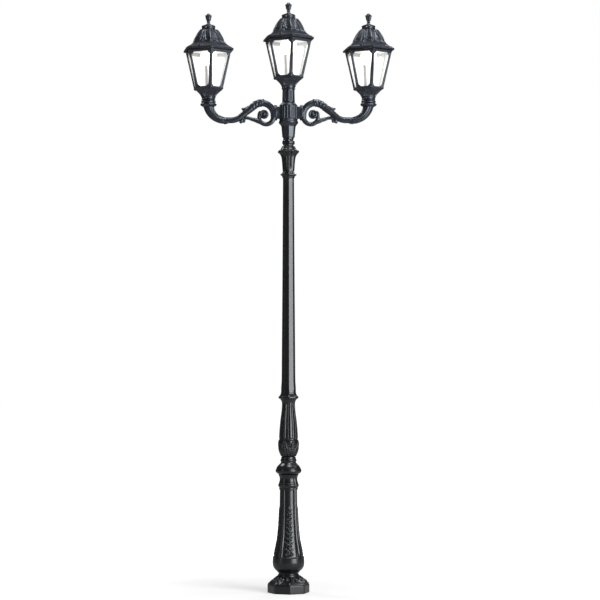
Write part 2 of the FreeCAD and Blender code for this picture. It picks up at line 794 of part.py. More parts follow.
def arm_scroll():
    """The scroll that runs down from the hump, under and up, and curls over to its eye."""
    centre_out = "(hump_centre_out - hump_radius + scroll_radius)"
    start = ("(hump_centre_out - hump_radius)", "hump_centre_up")
    low_left = ("(hump_centre_out - hump_radius)", "scroll_up")
    low_right = (f"({centre_out} + scroll_radius)", "scroll_up")
    low_middle = (centre_out, "(scroll_up - scroll_radius)")
    rise = (low_right[0], "curl_up")
    curl_top = (f"({low_right[0]} - curl_radius)", "(curl_up + curl_radius)")
    curl_end = (f"({low_right[0]} - curl_radius * 2)", "curl_up")
    quarter = sagitta(90)
    bar = path("scroll_bar", [
        start, (*low_left, quarter), (*low_middle, quarter), low_right, (*rise, quarter),
        (*curl_top, quarter), curl_end,
    ], "scroll_tube_radius", start, UP)
    eye = bind(doc.addObject("Part::Sphere", "scroll_eye"), Radius="curl_eye_radius",
               x=f"{low_right[0]} - curl_radius * 1.5", z="curl_up")
    return bar, eye


def arm_tendril():
    """The thin stem from the scroll to the low run, with a bud on its end."""
    out = "(hump_centre_out - hump_radius + scroll_radius * 1.8)"
    up = "(scroll_up - scroll_radius * 0.6)"
    run = value(f"tendril_out - {out}")
    rise = value(f"tendril_up + tendril_bud_radius * 1.6 - {up}")
    stem = rod("tendril_stem", "tendril_radius",
               f"sqrt((tendril_out - {out})^2 + (tendril_up + tendril_bud_radius * 1.6 - {up})^2)",
               Vector(run, 0, rise), out, 0, up)
    bud = bind(doc.addObject("Part::Sphere", "tendril_bud"), Radius="tendril_bud_radius", x="tendril_out",
               z="tendril_up")
    return stem, bud


def arm_root():
    """The block that seats on the drum, with tapped holes for the two bolts."""
    return box("root_block", "arm_root_out", "arm_root_depth", "arm_root_height",
               0, "-arm_root_depth / 2", f"{BOLT_UP} - arm_root_height / 2")


def arm_cup():
    """The ringed cup at the arm's end and the spigot for a side lantern."""
    top = f"({SIDE_SEAT} - {HUB_FOOT})"
    low = f"({top} - arm_ring_drop)"
    body = turned("cup_form", [
        (0, CUP_ROOT), ("arm_cup_stem_radius", CUP_ROOT, -0.1), ("arm_ring_radius - 3", f"{low} - 6", 0.3),
        ("arm_ring_radius - 3", f"{low} + 4"),
        ("arm_cup_radius", f"{top} - arm_cup_height"), ("arm_cup_radius", top), ("spigot_radius", top),
        ("spigot_radius", f"{top} + spigot_height"), (0, f"{top} + spigot_height"),
    ])
    return bind(body, x="arm_reach")


def arms():
    """The right arm, and the left one as its mirror image."""
    main, elbow = arm_form()
    bar, eye = arm_scroll()
    stem, bud = arm_tendril()
    solid = fuse("arm_fuse", arm_root(), main, elbow, arm_cup(), bar, eye, stem, bud)
    drum = cylinder("arm_drum_seat", "drum_radius", "drum_top - drum_foot + 60", 0, 0, "drum_foot - 30")
    holes = [arm_bolt(f"arm_bolt_hole_{index}", side, rise, True) for index,
             (side, rise) in enumerate(BOLT_PLACES) if side > 0]
    right = cut("arm_right_cut", solid, group("arm_cutters", drum, *holes))
    left = doc.addObject("Part::Mirroring", "arm_left_mirror")
    left.Source = right
    left.Normal = Vector(1, 0, 0)
    part("arm_left", left)
    part("arm_right", right, z=HUB_FOOT)


# Heights in a lantern, above its own seat
CAGE_TOP = "(cup_height + cage_height)"
FLANGE_TOP = f"({CAGE_TOP} + flange_height)"
ROOF_FOOT = f"({FLANGE_TOP} + gasket_height + body_gap)"
CROWN = f"({ROOF_FOOT} + dome_height)"
FLAT = "cos(30 deg)"
FLANGE_RADIUS = "(cage_top_radius + flange_lip)"
EAVE_RADIUS = f"({FLANGE_RADIUS} + eave_overhang)"
HINGE_OUT = f"({EAVE_RADIUS} * {FLAT} + hinge_radius + hinge_out)"
HINGE_UP = f"({ROOF_FOOT} + hinge_up)"
LATCH_OUT = f"({EAVE_RADIUS} * {FLAT} - latch_in)"
SEAT_UP = f"({ROOF_FOOT} + eave_height + latch_seat)"
SCREW_ANGLES = (60, 180, 300)


def hexagons(name, stations, ruled=True):
    return loft(name, 6, stations, ruled, 30)


def prism(name, radius, height, z):
    """A prism with six sides, flat towards X."""
    shape = doc.addObject("Part::Prism", name)
    shape.Placement.Rotation = FreeCAD.Rotation(UP, 30)
    return bind(shape, Polygon=6, Circumradius=radius, Height=height, z=z)


def cage_radius(height, inset=0):
    """The corner radius of the cage's slanting wall at a height above the seat."""
    slope = "((cage_top_radius - cage_foot_radius) / cage_height)"
    return f"(cage_foot_radius + {slope} * (({height}) - cup_height) - ({inset}) / {FLAT})"


def socket_cup(name):
    """The round cup that slides over a spigot and flares up to the cage."""
    bore = "(spigot_radius + bore_gap)"
    form = turned(name + "_form", [
        (bore, 0), ("cup_collar_radius", 0), ("cup_collar_radius", "cup_collar", 0.04),
        ("cup_waist_radius", "cup_waist", -0.06),
        ("cup_rim_radius", "cup_height"), ("cup_rim_radius - cup_wall * 2", "cup_height"),
        ("cup_waist_radius - cup_wall", "cup_bore"),
        (bore, "cup_bore"),
    ])
    holes = [grub(f"{name}_hole_{angle}", angle, "spigot_radius", "(cup_collar_radius + 5)",
                  "cup_collar / 2") for angle in SCREW_ANGLES]
    return cut(name + "_cut", form, group(name + "_holes", *holes))


def socket_screws(name):
    """Three set screws that clamp the cup on its spigot."""
    screws = []
    for angle in SCREW_ANGLES:
        screws.append(grub(f"{name}_{angle}", angle, "spigot_radius", "cup_collar_radius", "cup_collar / 2",
                           "grub_depth"))
    return group(name + "_set", *screws)


def window(name, angle):
    """The opening of two facing sides of the cage, with a rounded ear in each corner."""
    low, high = "(cup_height + rail_height)", f"({CAGE_TOP} - head_rail_height)"
    low_half = f"({cage_radius(low)} / 2 - bar_width)"
    high_half = f"({cage_radius(high)} / 2 - bar_width)"
    low_ear, high_ear = f"({low} + ear_radius)", f"({high} - ear_radius)"
    low_side = f"({cage_radius(low_ear)} / 2 - bar_width)"
    high_side = f"({cage_radius(high_ear)} / 2 - bar_width)"
    ear = -0.2
    right = [(f"({low_half} - ear_radius)", low, ear), (low_side, low_ear), (high_side, high_ear, ear),
             (f"({high_half} - ear_radius)", high)]
    left = [(f"-{point[0]}", point[1]) for point in reversed(right)]
    left[0] = (*left[0], ear)
    left[2] = (*left[2], ear)
    shape = doc.addObject("Part::Extrusion", name)
    shape.Base = free_sketch(name + "_outline", right + left, angle)
    shape.DirMode, shape.Symmetric, shape.Solid = "Normal", True, True
    return bind(shape, LengthFwd=f"{FLANGE_RADIUS} * 3")


def cage_frame(name):
    """The six-sided frame: rails, corner bars and the flange under the roof."""
    foot, top = "cup_height", CAGE_TOP
    wall = cut(name + "_wall", hexagons(name + "_outside",
                                        [(cage_radius(foot), foot), (cage_radius(top), top)]),
               hexagons(name + "_inside", [(cage_radius(foot, "cage_wall"), foot),
                                           (cage_radius(top, "cage_wall"), top)]))
    windows = group(name + "_windows", *[window(f"{name}_window_{angle}", angle) for angle in (30, 90, 150)])
    lip = prism(name + "_lip", "cage_foot_radius + 3", "cage_lip", foot)
    flange = prism(name + "_flange", FLANGE_RADIUS, "flange_height", top)
    hole = f"(cage_top_radius - flange_ledge / {FLAT})"
    frame = fuse(name + "_solid", cut(name + "_open", wall, windows), lip, flange, hinge_brackets(name))
    inside = fuse(name + "_hollow", prism(name + "_lip_hole", "cage_foot_radius - 18", "cage_lip", foot),
                  prism(name + "_flange_hole", hole, "flange_height", top), hinge_bore(name + "_pin_hole"),
                  cylinder(name + "_latch_hole", "latch_hole_radius", "flange_height", f"-{LATCH_OUT}", 0,
                           top))
    return cut(name + "_cut", frame, inside)


def hinge_bore(name, radius="hinge_pin_radius"):
    length = "(hinge_knuckle + hinge_side_knuckle * 2 + 4)"
    return rod(name, radius, length, ALONG_Y, HINGE_OUT, f"-{length} / 2", HINGE_UP)


def hinge_brackets(name):
    """The two outer knuckles on the cage, each on a foot that reaches out under the eave."""
    pieces = []
    starts = {"left": "hinge_knuckle / 2 + body_gap",
              "right": "-hinge_knuckle / 2 - body_gap - hinge_side_knuckle"}
    inner = f"({FLANGE_RADIUS} * {FLAT} - 6)"
    for side, start in starts.items():
        knuckle = rod(f"{name}_{side}_knuckle", "hinge_radius", "hinge_side_knuckle", ALONG_Y, HINGE_OUT,
                      start, HINGE_UP)
        foot = box(f"{name}_{side}_foot", f"{HINGE_OUT} + hinge_radius - {inner}", "hinge_side_knuckle",
                   "flange_height / 2", inner, start, CAGE_TOP)
        web_foot = f"({CAGE_TOP} + flange_height / 4)"
        web = box(f"{name}_{side}_web", "hinge_radius * 1.6", "hinge_side_knuckle",
                  f"{HINGE_UP} - {web_foot}",
                  f"{HINGE_OUT} - hinge_radius * 0.6", start, web_foot)
        pieces += [knuckle, foot, web]
    return fuse(name + "_brackets", *pieces)


def panes(name):
    """Six flat panes against the inside of the cage wall."""
    foot, top = "(cup_height + cage_lip)", CAGE_TOP
    outer, inner = "cage_wall", "cage_wall + pane_thickness"
    shell = cut(name + "_shell", hexagons(name + "_outside",
                                          [(cage_radius(foot, outer), foot), (cage_radius(top, outer), top)]),
                hexagons(name + "_inside", [(cage_radius(foot, inner), foot),
                                            (cage_radius(top, inner), top)]))
    gaps = []
    for angle in (30, 90, 150):
        gap = box(f"{name}_gap_{angle}", f"{FLANGE_RADIUS} * 3", "pane_corner_gap", "cage_height", 0, 0, foot)
        gap.Placement.Rotation = FreeCAD.Rotation(UP, angle)
        across, along = "(pane_corner_gap / 2)", f"({FLANGE_RADIUS} * 1.5)"
        bind(gap, x=f"{across} * sin({angle} deg) - {along} * cos({angle} deg)")
        gap.setExpression("Placement.Base.y",
                          formula(f"-{across} * cos({angle} deg) - {along} * sin({angle} deg)"))
        gaps.append(gap)
    return cut(name + "_cut", shell, group(name + "_gaps", *gaps))


def gasket(name):
    """The seal on the cage's flange."""
    outer = f"({FLANGE_RADIUS} - gasket_inset / {FLAT})"
    return cut(name + "_cut", prism(name + "_outside", outer, "gasket_height", FLANGE_TOP),
               prism(name + "_inside", f"{outer} - gasket_width / {FLAT}", "gasket_height", FLANGE_TOP))


def roof_form(name, inset=0):
    """The bell of the roof, or its hollow when it is inset by the wall."""
    foot = f"({ROOF_FOOT} + eave_height)"
    stations = [
        (f"({EAVE_RADIUS} - ({inset}) * 2.5)", f"({foot} - ({inset}))"),
        (f"(skirt_radius - ({inset}) * 2)", f"({ROOF_FOOT} + skirt_height - ({inset}))"),
    ]
    steps = 5
    for step in range(steps + 1):
        angle = f"({90 * step / steps} * 1 deg)"
        radius = f"(crown_radius + (dome_foot_radius - crown_radius) * cos{angle} - ({inset}) / {FLAT})"
        rise = f"(dome_foot + (dome_height - dome_foot) * sin{angle})"
        stations.append((radius, f"({ROOF_FOOT} + {rise} - ({inset}) * {step / steps})"))
    return hexagons(name, stations)


def cap_screw_rods(name, radius, length, start):
    """Three rods that point out of the crown, at the places of the cap's screws."""
    up = f"{CROWN} + crown_boss_height / 2"
    rods = []
    for angle in SCREW_ANGLES:
        x, y = f"({start}) * cos({angle} deg)", f"({start}) * sin({angle} deg)"
        rods.append(rod(f"{name}_{angle}", radius, length, outward(angle), x, y, up))
    return rods


def roof(name):
    """The hinged roof: eave, bell, crown boss, knuckle and the pocketed seat of the latch knob."""
    rim = prism(name + "_rim", EAVE_RADIUS, "eave_height", ROOF_FOOT)
    bell = roof_form(name + "_bell")
    boss = cylinder(name + "_boss", "crown_boss_radius", "crown_boss_height", 0, 0, CROWN)
    knuckle = rod(name + "_knuckle", "hinge_radius", "hinge_knuckle", ALONG_Y, HINGE_OUT,
                  "-hinge_knuckle / 2", HINGE_UP)
    web_start = f"({EAVE_RADIUS} * {FLAT} - 3)"
    web = box(name + "_web", f"{HINGE_OUT} - {web_start}", "hinge_knuckle", "hinge_radius",
              web_start, "-hinge_knuckle / 2", ROOF_FOOT)
    nipple_hole = cylinder(name + "_nipple_hole", "nipple_radius", "crown_boss_height * 2", 0, 0,
                           f"{CROWN} - crown_boss_height")
    mouth = prism(name + "_mouth", f"roof_opening / {FLAT}", "eave_height", ROOF_FOOT)
    screw_holes = cap_screw_rods(name + "_screw_hole", "screw_radius", "screw_length",
                                 "cap_radius - screw_length")
    shell = cut(name + "_shell", fuse(name + "_outside", rim, bell, boss),
                fuse(name + "_inside", roof_form(name + "_hollow", "roof_wall"), mouth, nipple_hole,
                     *screw_holes))

    def at_latch(piece, radius, height, z):
        return cylinder(f"{name}_{piece}", radius, height, f"-{LATCH_OUT}", 0, z)

    backing = doc.addObject("Part::Common", name + "_latch_backing")
    backing.Base = bell
    backing.Tool = at_latch("latch_wall", "latch_knob_radius + 1 + latch_pocket", "skirt_height", ROOF_FOOT)
    seat = at_latch("seat", "latch_knob_radius + 1", "eave_height + latch_seat", ROOF_FOOT)
    whole = fuse(name + "_solid", shell, knuckle, web, seat, backing)
    bores = group(name + "_bores", hinge_bore(name + "_pin_hole", "hinge_pin_radius + hinge_play"),
                  at_latch("latch_pocket", "latch_knob_radius + 1", "skirt_height", SEAT_UP),
                  at_latch("latch_hole", "latch_shank_radius + latch_play", "eave_height + latch_seat",
                           ROOF_FOOT))
    return cut(name + "_cut", whole, bores)


HOLDER_FOOT = f"({ROOF_FOOT} + 2 + reflector_height)"
HOLDER_TOP = f"({HOLDER_FOOT} + holder_length)"
LAMP_TOP = f"({HOLDER_TOP} - 6)"
LAMP_CENTRE = f"({ROOF_FOOT} - lamp_drop)"


def reflector(name):
    """The white hopper over the lamp, held at its neck by the lampholder."""
    foot, top = f"({ROOF_FOOT} + 2)", HOLDER_FOOT
    inner_foot = "reflector_radius - reflector_wall * 3"
    inner_top = "reflector_neck_radius - reflector_wall * 3"
    cone = cut(name + "_cone", hexagons(name + "_outside",
                                        [("reflector_radius", foot), ("reflector_neck_radius", top)]),
               hexagons(name + "_inside", [(inner_foot, foot), (inner_top, top)]))
    plate = cut(name + "_plate", prism(name + "_disc", "reflector_neck_radius", "reflector_wall", top),
                cylinder(name + "_hole", "holder_radius", "reflector_wall", 0, 0, top))
    return fuse(name + "_solid", cone, plate)


def lampholder(name):
    """The socket of the lamp on its threaded tube, which hangs from the crown."""
    mouth = "(lamp_neck_radius + 1)"
    return turned(name + "_form", [
        (mouth, HOLDER_FOOT), ("holder_radius", HOLDER_FOOT), ("holder_radius", HOLDER_TOP),
        ("nipple_radius", HOLDER_TOP), ("nipple_radius", f"{CROWN} + crown_boss_height"),
        (0, f"{CROWN} + crown_boss_height"), (0, LAMP_TOP), (mouth, LAMP_TOP),
    ])


def lamp(name):
    """The round opal lamp with its screw base in the holder."""
    neck = "lamp_neck_radius"
    shoulder = f"({LAMP_CENTRE} + lamp_radius * 0.86)"
    return turned(name + "_form", [
        (0, f"({LAMP_CENTRE} - lamp_radius)", sagitta(90)), ("lamp_radius", LAMP_CENTRE, 0.16),
        (f"{neck} + 12", shoulder, -0.1), (neck, f"({HOLDER_FOOT} + 2)"), (neck, LAMP_TOP), (0, LAMP_TOP),
    ])


def crown_cap(name):
    """The round cap with a rolled skirt that closes the crown."""
    top = f"({CROWN} + cap_height)"
    skirt_foot = f"({CROWN} + 1)"
    boss_top = f"({CROWN} + crown_boss_height)"
    form = turned(name + "_form", [
        ("crown_boss_radius", skirt_foot), ("cap_radius - 1", skirt_foot),
        ("cap_radius", f"{skirt_foot} + 3"),
        ("cap_radius", f"{CROWN} + cap_skirt - 8", 0.2), ("cap_radius - 12", f"{CROWN} + cap_skirt"),
        ("finial_stem_radius + 8", top), (0, top), (0, boss_top), ("crown_boss_radius", boss_top),
    ])
    holes = cap_screw_rods(name + "_hole", "screw_radius", "screw_length", "cap_radius - screw_length")
    return cut(name + "_cut", form, group(name + "_holes", *holes))


def cap_screws(name):
    """Three bright screws that hold the cap on the crown."""
    shanks = cap_screw_rods(name + "_shank", "screw_radius", "screw_length", "cap_radius - screw_length")
    heads = cap_screw_rods(name + "_head", "screw_head_radius", "screw_head", "cap_radius")
    screws = [fuse(f"{name}_{index}", *pair) for index, pair in enumerate(zip(shanks, heads))]
    return group(name + "_set", *screws)


def finial(name):
    """The bud on its ringed stem."""
    foot = f"({CROWN} + cap_height)"
    return turned(name + "_form", [
        (0, foot), ("finial_stem_radius + 6", foot, -0.1), ("finial_stem_radius", f"{foot} + finial_stem"),
        ("finial_ring_radius - 2", f"{foot} + finial_stem", 0.3),
        ("finial_ring_radius - 2", f"{foot} + finial_ring"),
        ("finial_stem_radius", f"{foot} + finial_ring + 4", 0.1),
        ("finial_bud_radius", f"{foot} + finial_bud"),
        ("finial_bud_radius - 6", f"{foot} + finial_bud + 3", 0.15), (2, f"{foot} + finial_height"),
        (0, f"{foot} + finial_height"),
    ])


def hinge_pin(name):
    """The pin through the three knuckles."""
    return hinge_bore(name + "_rod")


def latch_screw(name):
    """The thumb screw that holds the roof down, its knob on the eave."""
    foot = f"({FLANGE_TOP} - latch_depth)"
    knob_foot = f"({SEAT_UP} + body_gap)"
    form = turned(name + "_form", [
        (0, foot), ("latch_shank_radius", foot), ("latch_shank_radius", knob_foot),
        ("latch_knob_radius", knob_foot),
        ("latch_knob_radius", f"{knob_foot} + latch_knob_height - 2", 0.2),
        ("latch_knob_radius - 2", f"{knob_foot} + latch_knob_height"),
        (0, f"{knob_foot} + latch_knob_height"),
    ])
    return bind(form, x=f"-{LATCH_OUT}")


LANTERNS = {"left": ("-arm_reach", SIDE_SEAT), "middle": (0, MIDDLE_SEAT), "right": ("arm_reach", SIDE_SEAT)}
LANTERN_PIECES = (socket_cup, socket_screws, cage_frame, panes, gasket, roof, reflector, lampholder, lamp,
                  crown_cap,
                  cap_screws, finial, hinge_pin, latch_screw)


def lanterns():
    """The three lanterns: each piece is made once, and placed and turned at every seat."""
    for make in LANTERN_PIECES:
        name = make.__name__
        piece = make(name)
        for side, (out, seat) in LANTERNS.items():
            placed = group(f"{side}_{name}", piece)
            part(f"{side}_{name}", placed, x=out, z=seat, turn="lantern_turn")


def finish():
    """Check every object and every piece, then write the pieces."""
    doc.recompute()
    for item in doc.Objects:
        if any(word in item.State for word in ("Invalid", "Error")):
            raise RuntimeError(f"{item.Name} failed: {item.State}")
    for item in PARTS:
        if item.Shape.isNull() or not item.Shape.isValid():
            raise RuntimeError(f"{item.Label} has no valid shape")
    os.makedirs("parts", exist_ok=True)
    for item in PARTS:
        item.Shape.exportStep(f"parts/{item.Label}.step")


for build in (ground_plate, pole, plate_gussets, foot_cover, base_column, cushion_ring, baluster, shaft_ring,
              shaft,
              shaft_collar, capital, throat_ring, hub, neck, arms, arm_bolts, hub_screws, lanterns):
    build()
finish()
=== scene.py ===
import math

import bpy
import numpy as np
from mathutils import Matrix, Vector

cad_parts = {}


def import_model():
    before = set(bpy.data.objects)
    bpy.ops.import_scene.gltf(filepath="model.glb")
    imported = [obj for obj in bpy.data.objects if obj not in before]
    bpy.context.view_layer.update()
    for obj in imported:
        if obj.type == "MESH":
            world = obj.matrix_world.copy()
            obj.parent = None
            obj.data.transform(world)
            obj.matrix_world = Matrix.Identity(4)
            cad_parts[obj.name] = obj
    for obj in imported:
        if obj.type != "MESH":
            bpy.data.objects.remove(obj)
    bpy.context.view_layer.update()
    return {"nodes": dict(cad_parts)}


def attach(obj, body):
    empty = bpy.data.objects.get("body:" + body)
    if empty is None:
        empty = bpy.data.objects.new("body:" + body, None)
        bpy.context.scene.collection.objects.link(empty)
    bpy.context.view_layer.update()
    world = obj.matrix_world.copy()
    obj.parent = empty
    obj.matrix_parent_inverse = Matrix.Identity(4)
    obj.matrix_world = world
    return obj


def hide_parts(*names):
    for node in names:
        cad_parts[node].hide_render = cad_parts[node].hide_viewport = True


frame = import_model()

# Shapes are worked out in millimetres, with Z up the post, and written to the meshes in metres.
MM = 0.001
TAU = 2 * math.pi
CREASE = math.radians(38)
COLUMN_TURN = math.radians(4) - math.pi / 2
LANTERN_TURN = math.radians(69.5)
ARM_REACH = 584
SEATS = {"left": (-ARM_REACH, 3590), "middle": (0, 3670), "right": (ARM_REACH, 3590)}


# Shader maths

class Socket:
    """A node's output, which takes part in sums with numbers and other outputs."""

    def __init__(self, looks, link):
        self.looks, self.link = looks, link

    def _math(self, operation, *values):
        return self.looks.node("ShaderNodeMath", {"operation": operation}, dict(enumerate(values)))

    def __add__(self, other):
        return self._math("ADD", self, other)

    def __radd__(self, other):
        return self._math("ADD", other, self)

    def __sub__(self, other):
        return self._math("SUBTRACT", self, other)

    def __rsub__(self, other):
        return self._math("SUBTRACT", other, self)

    def __mul__(self, other):
        return self._math("MULTIPLY", self, other)

    def __rmul__(self, other):
        return self._math("MULTIPLY", other, self)


class Looks:
    """A material and the nodes that make its finish."""

    def __init__(self, name):
        self.material = bpy.data.materials.new(name)
        self.material.use_nodes = True
        self.tree = self.material.node_tree
        self.shader = self.tree.nodes["Principled BSDF"]
        self.place = self.node("ShaderNodeTexCoord", {}, {}, "Object")

    def node(self, kind, settings, values, output=0):
        """Add a node: its settings come first, then the values or links of its sockets."""
        made = self.tree.nodes.new(kind)
        for name, setting in settings.items():
            if name == "stops":
                ramp = made.color_ramp
                while len(ramp.elements) < len(setting):
                    ramp.elements.new(0.5)
                for stop, (position, shade) in zip(ramp.elements, setting):
                    stop.position, stop.color = position, (*shade, 1)
            else:
                setattr(made, name, setting)
        for name, content in values.items():
            self.feed(made.inputs[name], content)
        return Socket(self, made.outputs[output])

    def feed(self, entry, content):
        """Link a socket to another, or set its value."""
        if isinstance(content, Socket):
            self.tree.links.new(content.link, entry)
        elif entry.type == "RGBA":
            entry.default_value = (*content, 1)
        else:
            entry.default_value = content

    def set(self, **values):
        """Set or link sockets of the shader; an underscore stands for a space."""
        for name, content in values.items():
            self.feed(self.shader.inputs[name.replace("_", " ")], content)

    def noise(self, scale, detail):
        """Cloudy noise, 0 to 1, with about so many clouds to the metre."""
        values = {"Vector": self.place, "Scale": scale, "Detail": detail}
        return self.node("ShaderNodeTexNoise", {}, values, "Fac")

    def ramp(self, value, stops):
        """A colour for each value, by stops of (position, colour)."""
        return self.node("ShaderNodeValToRGB", {"stops": stops}, {"Fac": value}, "Color")

    def mask(self, value, low, high):
        """0 below low, 1 above high, smooth between."""
        values = {"Value": value, "From Min": low, "From Max": high}
        return self.node("ShaderNodeMapRange", {"interpolation_type": "SMOOTHSTEP"}, values, "Result")

    def blend(self, share, first, second):
        """Two colours mixed; the numbers are those of the Mix node's colour sockets."""
        return self.node("ShaderNodeMix", {"data_type": "RGBA"}, {0: share, 6: first, 7: second}, 2)

    def bump(self, height, depth, strength):
        """Fine relief, its depth in metres."""
        values = {"Height": height, "Distance": depth, "Strength": strength}
        self.set(Normal=self.node("ShaderNodeBump", {}, values, "Normal"))
        return self

    def edges(self):
        """How far the surface stands out at edges and ridges, about 0.5 where it is flat."""
        return self.node("ShaderNodeNewGeometry", {}, {}, "Pointiness")


def casting(name, shade, sheen, gloss, worn_and_highlit, roughness, grit):
    """Painted casting: fine powder grain, faint mottling, paler edges that give rubbed paint and a painted
    edge highlight, and dust in the hollows.
    """
    looks = Looks(name)
    mottle = looks.noise(9, 4)
    fine = looks.noise(420, 2)
    # Paler edges and ridges: rubbed paint, and a painted edge highlight.
    rubbed_and_highlit = looks.mask(looks.edges(), 0.515, 0.6) * looks.mask(mottle, 0.35, 0.7)
    dusty = looks.mask(1 - looks.edges(), 0.505, 0.56) * looks.mask(looks.noise(30, 3), 0.4, 0.75)
    base = looks.ramp(mottle, [(0.3, shade), (0.7, tuple(part * 1.3 for part in shade))])
    base = looks.blend(rubbed_and_highlit * 0.5, base, worn_and_highlit)
    base = looks.blend(dusty * 0.12, base, (0.1, 0.1, 0.095))
    rough = roughness + mottle * 0.1 + fine * 0.08 - rubbed_and_highlit * 0.08
    looks.set(Base_Color=base, Roughness=rough, Specular_IOR_Level=gloss, Specular_Tint=sheen)
    return looks.bump(fine + looks.noise(150, 2) * 0.8, 0.0004, grit).material


def bright_steel(name, shade, roughness):
    """Bare or zinc-plated steel, clouded in tone and in polish."""
    looks = Looks(name)
    cloud = looks.noise(60, 4)
    spots = looks.noise(500, 2)
    base = looks.ramp(cloud, [(0.3, tuple(part * 0.75 for part in shade)), (0.7, shade)])
    looks.set(Base_Color=base, Roughness=roughness + cloud * 0.2, Metallic=1.0)
    return looks.bump(spots, 0.0002, 0.3).material


def clear_glass(name):
    """Clear pane that lets nearly all light through, with a faint haze of dust, and a painted glow that
    stands in for the lamp's light in that haze.
    """
    looks = Looks(name)
    dust = looks.noise(9, 2)
    # The emission is a painted glow: the panes give off light that stands in for the lamp's light in their
    # haze.
    looks.set(Base_Color=(0.95, 0.97, 0.97), Roughness=0.04 + dust * 0.05, IOR=1.45,
              Alpha=0.14 + dust * 0.02, Emission_Color=(1.0, 0.98, 0.94), Emission_Strength=0.8)
    looks.material.surface_render_method = "BLENDED"
    return looks.material


def glowing_opal(name, strength):
    """Opal glass, lit from inside, a little uneven in its warmth."""
    looks = Looks(name)
    cloud = looks.noise(20, 3)
    glow = looks.ramp(cloud, [(0.3, (1.0, 0.93, 0.82)), (0.7, (1.0, 0.96, 0.88))])
    looks.set(Base_Color=(0.95, 0.94, 0.91), Roughness=0.18 + cloud * 0.06, Emission_Color=glow,
              Emission_Strength=strength, Coat_Weight=0.3)
    return looks.material


def enamel(name, shade, roughness):
    """White or pale gloss paint with a faint yellowing."""
    looks = Looks(name)
    cloud = looks.noise(12, 4)
    base = looks.ramp(cloud, [(0.3, tuple(part * 0.93 for part in shade)), (0.7, shade)])
    looks.set(Base_Color=base, Roughness=roughness + cloud * 0.1)
    return looks.bump(looks.noise(90, 2), 0.0002, 0.3).material


def seal_rubber(name):
    """Dull black rubber."""
    looks = Looks(name)
    cloud = looks.noise(80, 3)
    base = looks.ramp(cloud, [(0.3, (0.02, 0.02, 0.02)), (0.7, (0.04, 0.04, 0.04))])
    looks.set(Base_Color=base, Roughness=0.7 + cloud * 0.15)
    return looks.bump(looks.noise(300, 2), 0.0003, 0.5).material


FINISH = {
    "casting": casting("column_paint", shade=(0.003, 0.0036, 0.0042), sheen=(0.93, 0.98, 1.0), gloss=0.55,
                       worn_and_highlit=(0.05, 0.053, 0.055), roughness=0.2, grit=0.1),
    "head_casting": casting("head_paint", shade=(0.0032, 0.004, 0.0066), sheen=(0.78, 0.87, 1.0), gloss=0.9,
                            worn_and_highlit=(0.06, 0.065, 0.08), roughness=0.3, grit=0.14),
    "steel": bright_steel("zinc_steel", (0.5, 0.51, 0.52), 0.4),
    "screws": bright_steel("screw_steel", (0.5, 0.5, 0.5), 0.3),
    "glazing": clear_glass("clear_glass"),
    "seal": seal_rubber("seal_rubber"),
    "reflector_white": enamel("white_enamel", (0.76, 0.74, 0.69), 0.3),
    "holder": enamel("holder_plastic", (0.92, 0.92, 0.9), 0.25),
    "opal": glowing_opal("opal_glass", 3.0),
}


# Mesh making

def grid(points):
    """A shape, vertices and four-sided faces, over rows of points that run round."""
    rows, count = points.shape[:2]
    here = np.arange(rows * count).reshape(rows, count)
    there = np.roll(here, -1, axis=1)
    faces = np.stack([here[:-1], there[:-1], there[1:], here[1:]], axis=-1).reshape(-1, 4)
    return points.reshape(-1, 3), faces.tolist()


def capped(points):
    """A closed skin: the grid with a fan over its first and its last row."""
    rows, count = points.shape[:2]
    verts, faces = grid(points)
    verts = np.vstack([verts, points[0].mean(axis=0), points[-1].mean(axis=0)])
    low, high = rows * count, rows * count + 1
    last = (rows - 1) * count
    for index in range(count):
        after = (index + 1) % count
        faces.append([low, after, index])
        faces.append([high, last + index, last + after])
    return verts, faces


def moved(shape, offset=(0, 0, 0), turn=0.0, mirror=False):
    """The shape turned about Z, then moved, then mirrored across X = 0 where asked."""
    verts, faces = shape
    c, s = math.cos(turn), math.sin(turn)
    verts = verts @ np.array([[c, s, 0], [-s, c, 0], [0, 0, 1]]) + np.array(offset)
    if mirror:
        verts = verts * np.array([-1, 1, 1])
        faces = [face[::-1] for face in faces]
    return verts, faces


def joined(*shapes):
    """Several shapes as one."""
    verts, faces, start = [], [], 0
    for points, polygons in shapes:
        verts.append(points)
        faces += [[index + start for index in polygon] for polygon in polygons]
        start += len(points)
    return np.vstack(verts), faces


def piece(name, shape, slot, body, nodes):
    """Write a shape as an object in its finish, riding on a body and standing for CAD nodes."""
    verts, faces = shape
    mesh = bpy.data.meshes.new(name)
    mesh.from_pydata((verts * MM).tolist(), [], faces)
    mesh.shade_smooth()
    mesh.set_sharp_from_angle(angle=CREASE)
    item = bpy.data.objects.new(name, mesh)
    bpy.context.scene.collection.objects.link(item)
    item.data.materials.append(FINISH[slot])
    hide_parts(*nodes)
    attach(item, body)


def softened(profile, radius):
    """An outline of (across, up) points with its corners rounded off, each in three steps."""
    steps = 3
    points = [np.array(point, float) for point in profile]
    out = [points[0]]
    for index in range(1, len(points) - 1):
        before, here, after = points[index - 1:index + 2]
        back, on = before - here, after - here
        reach = min(radius, 0.45 * np.linalg.norm(back), 0.45 * np.linalg.norm(on))
        first = here + back / np.linalg.norm(back) * reach
        last = here + on / np.linalg.norm(on) * reach
        for step in range(steps + 1):
            share = step / steps
            out.append((1 - share) ** 2 * first + 2 * share * (1 - share) * here + share ** 2 * last)
    out.append(points[-1])
    return np.array(out)


def fine(profile, step):
    """The outline with its long stretches divided."""
    out = [profile[0]]
    for first, last in zip(profile[:-1], profile[1:]):
        count = max(1, int(math.ceil(np.linalg.norm(last - first) / step)))
        for index in range(1, count + 1):
            out.append(first + (last - first) * index / count)
    return np.array(out)


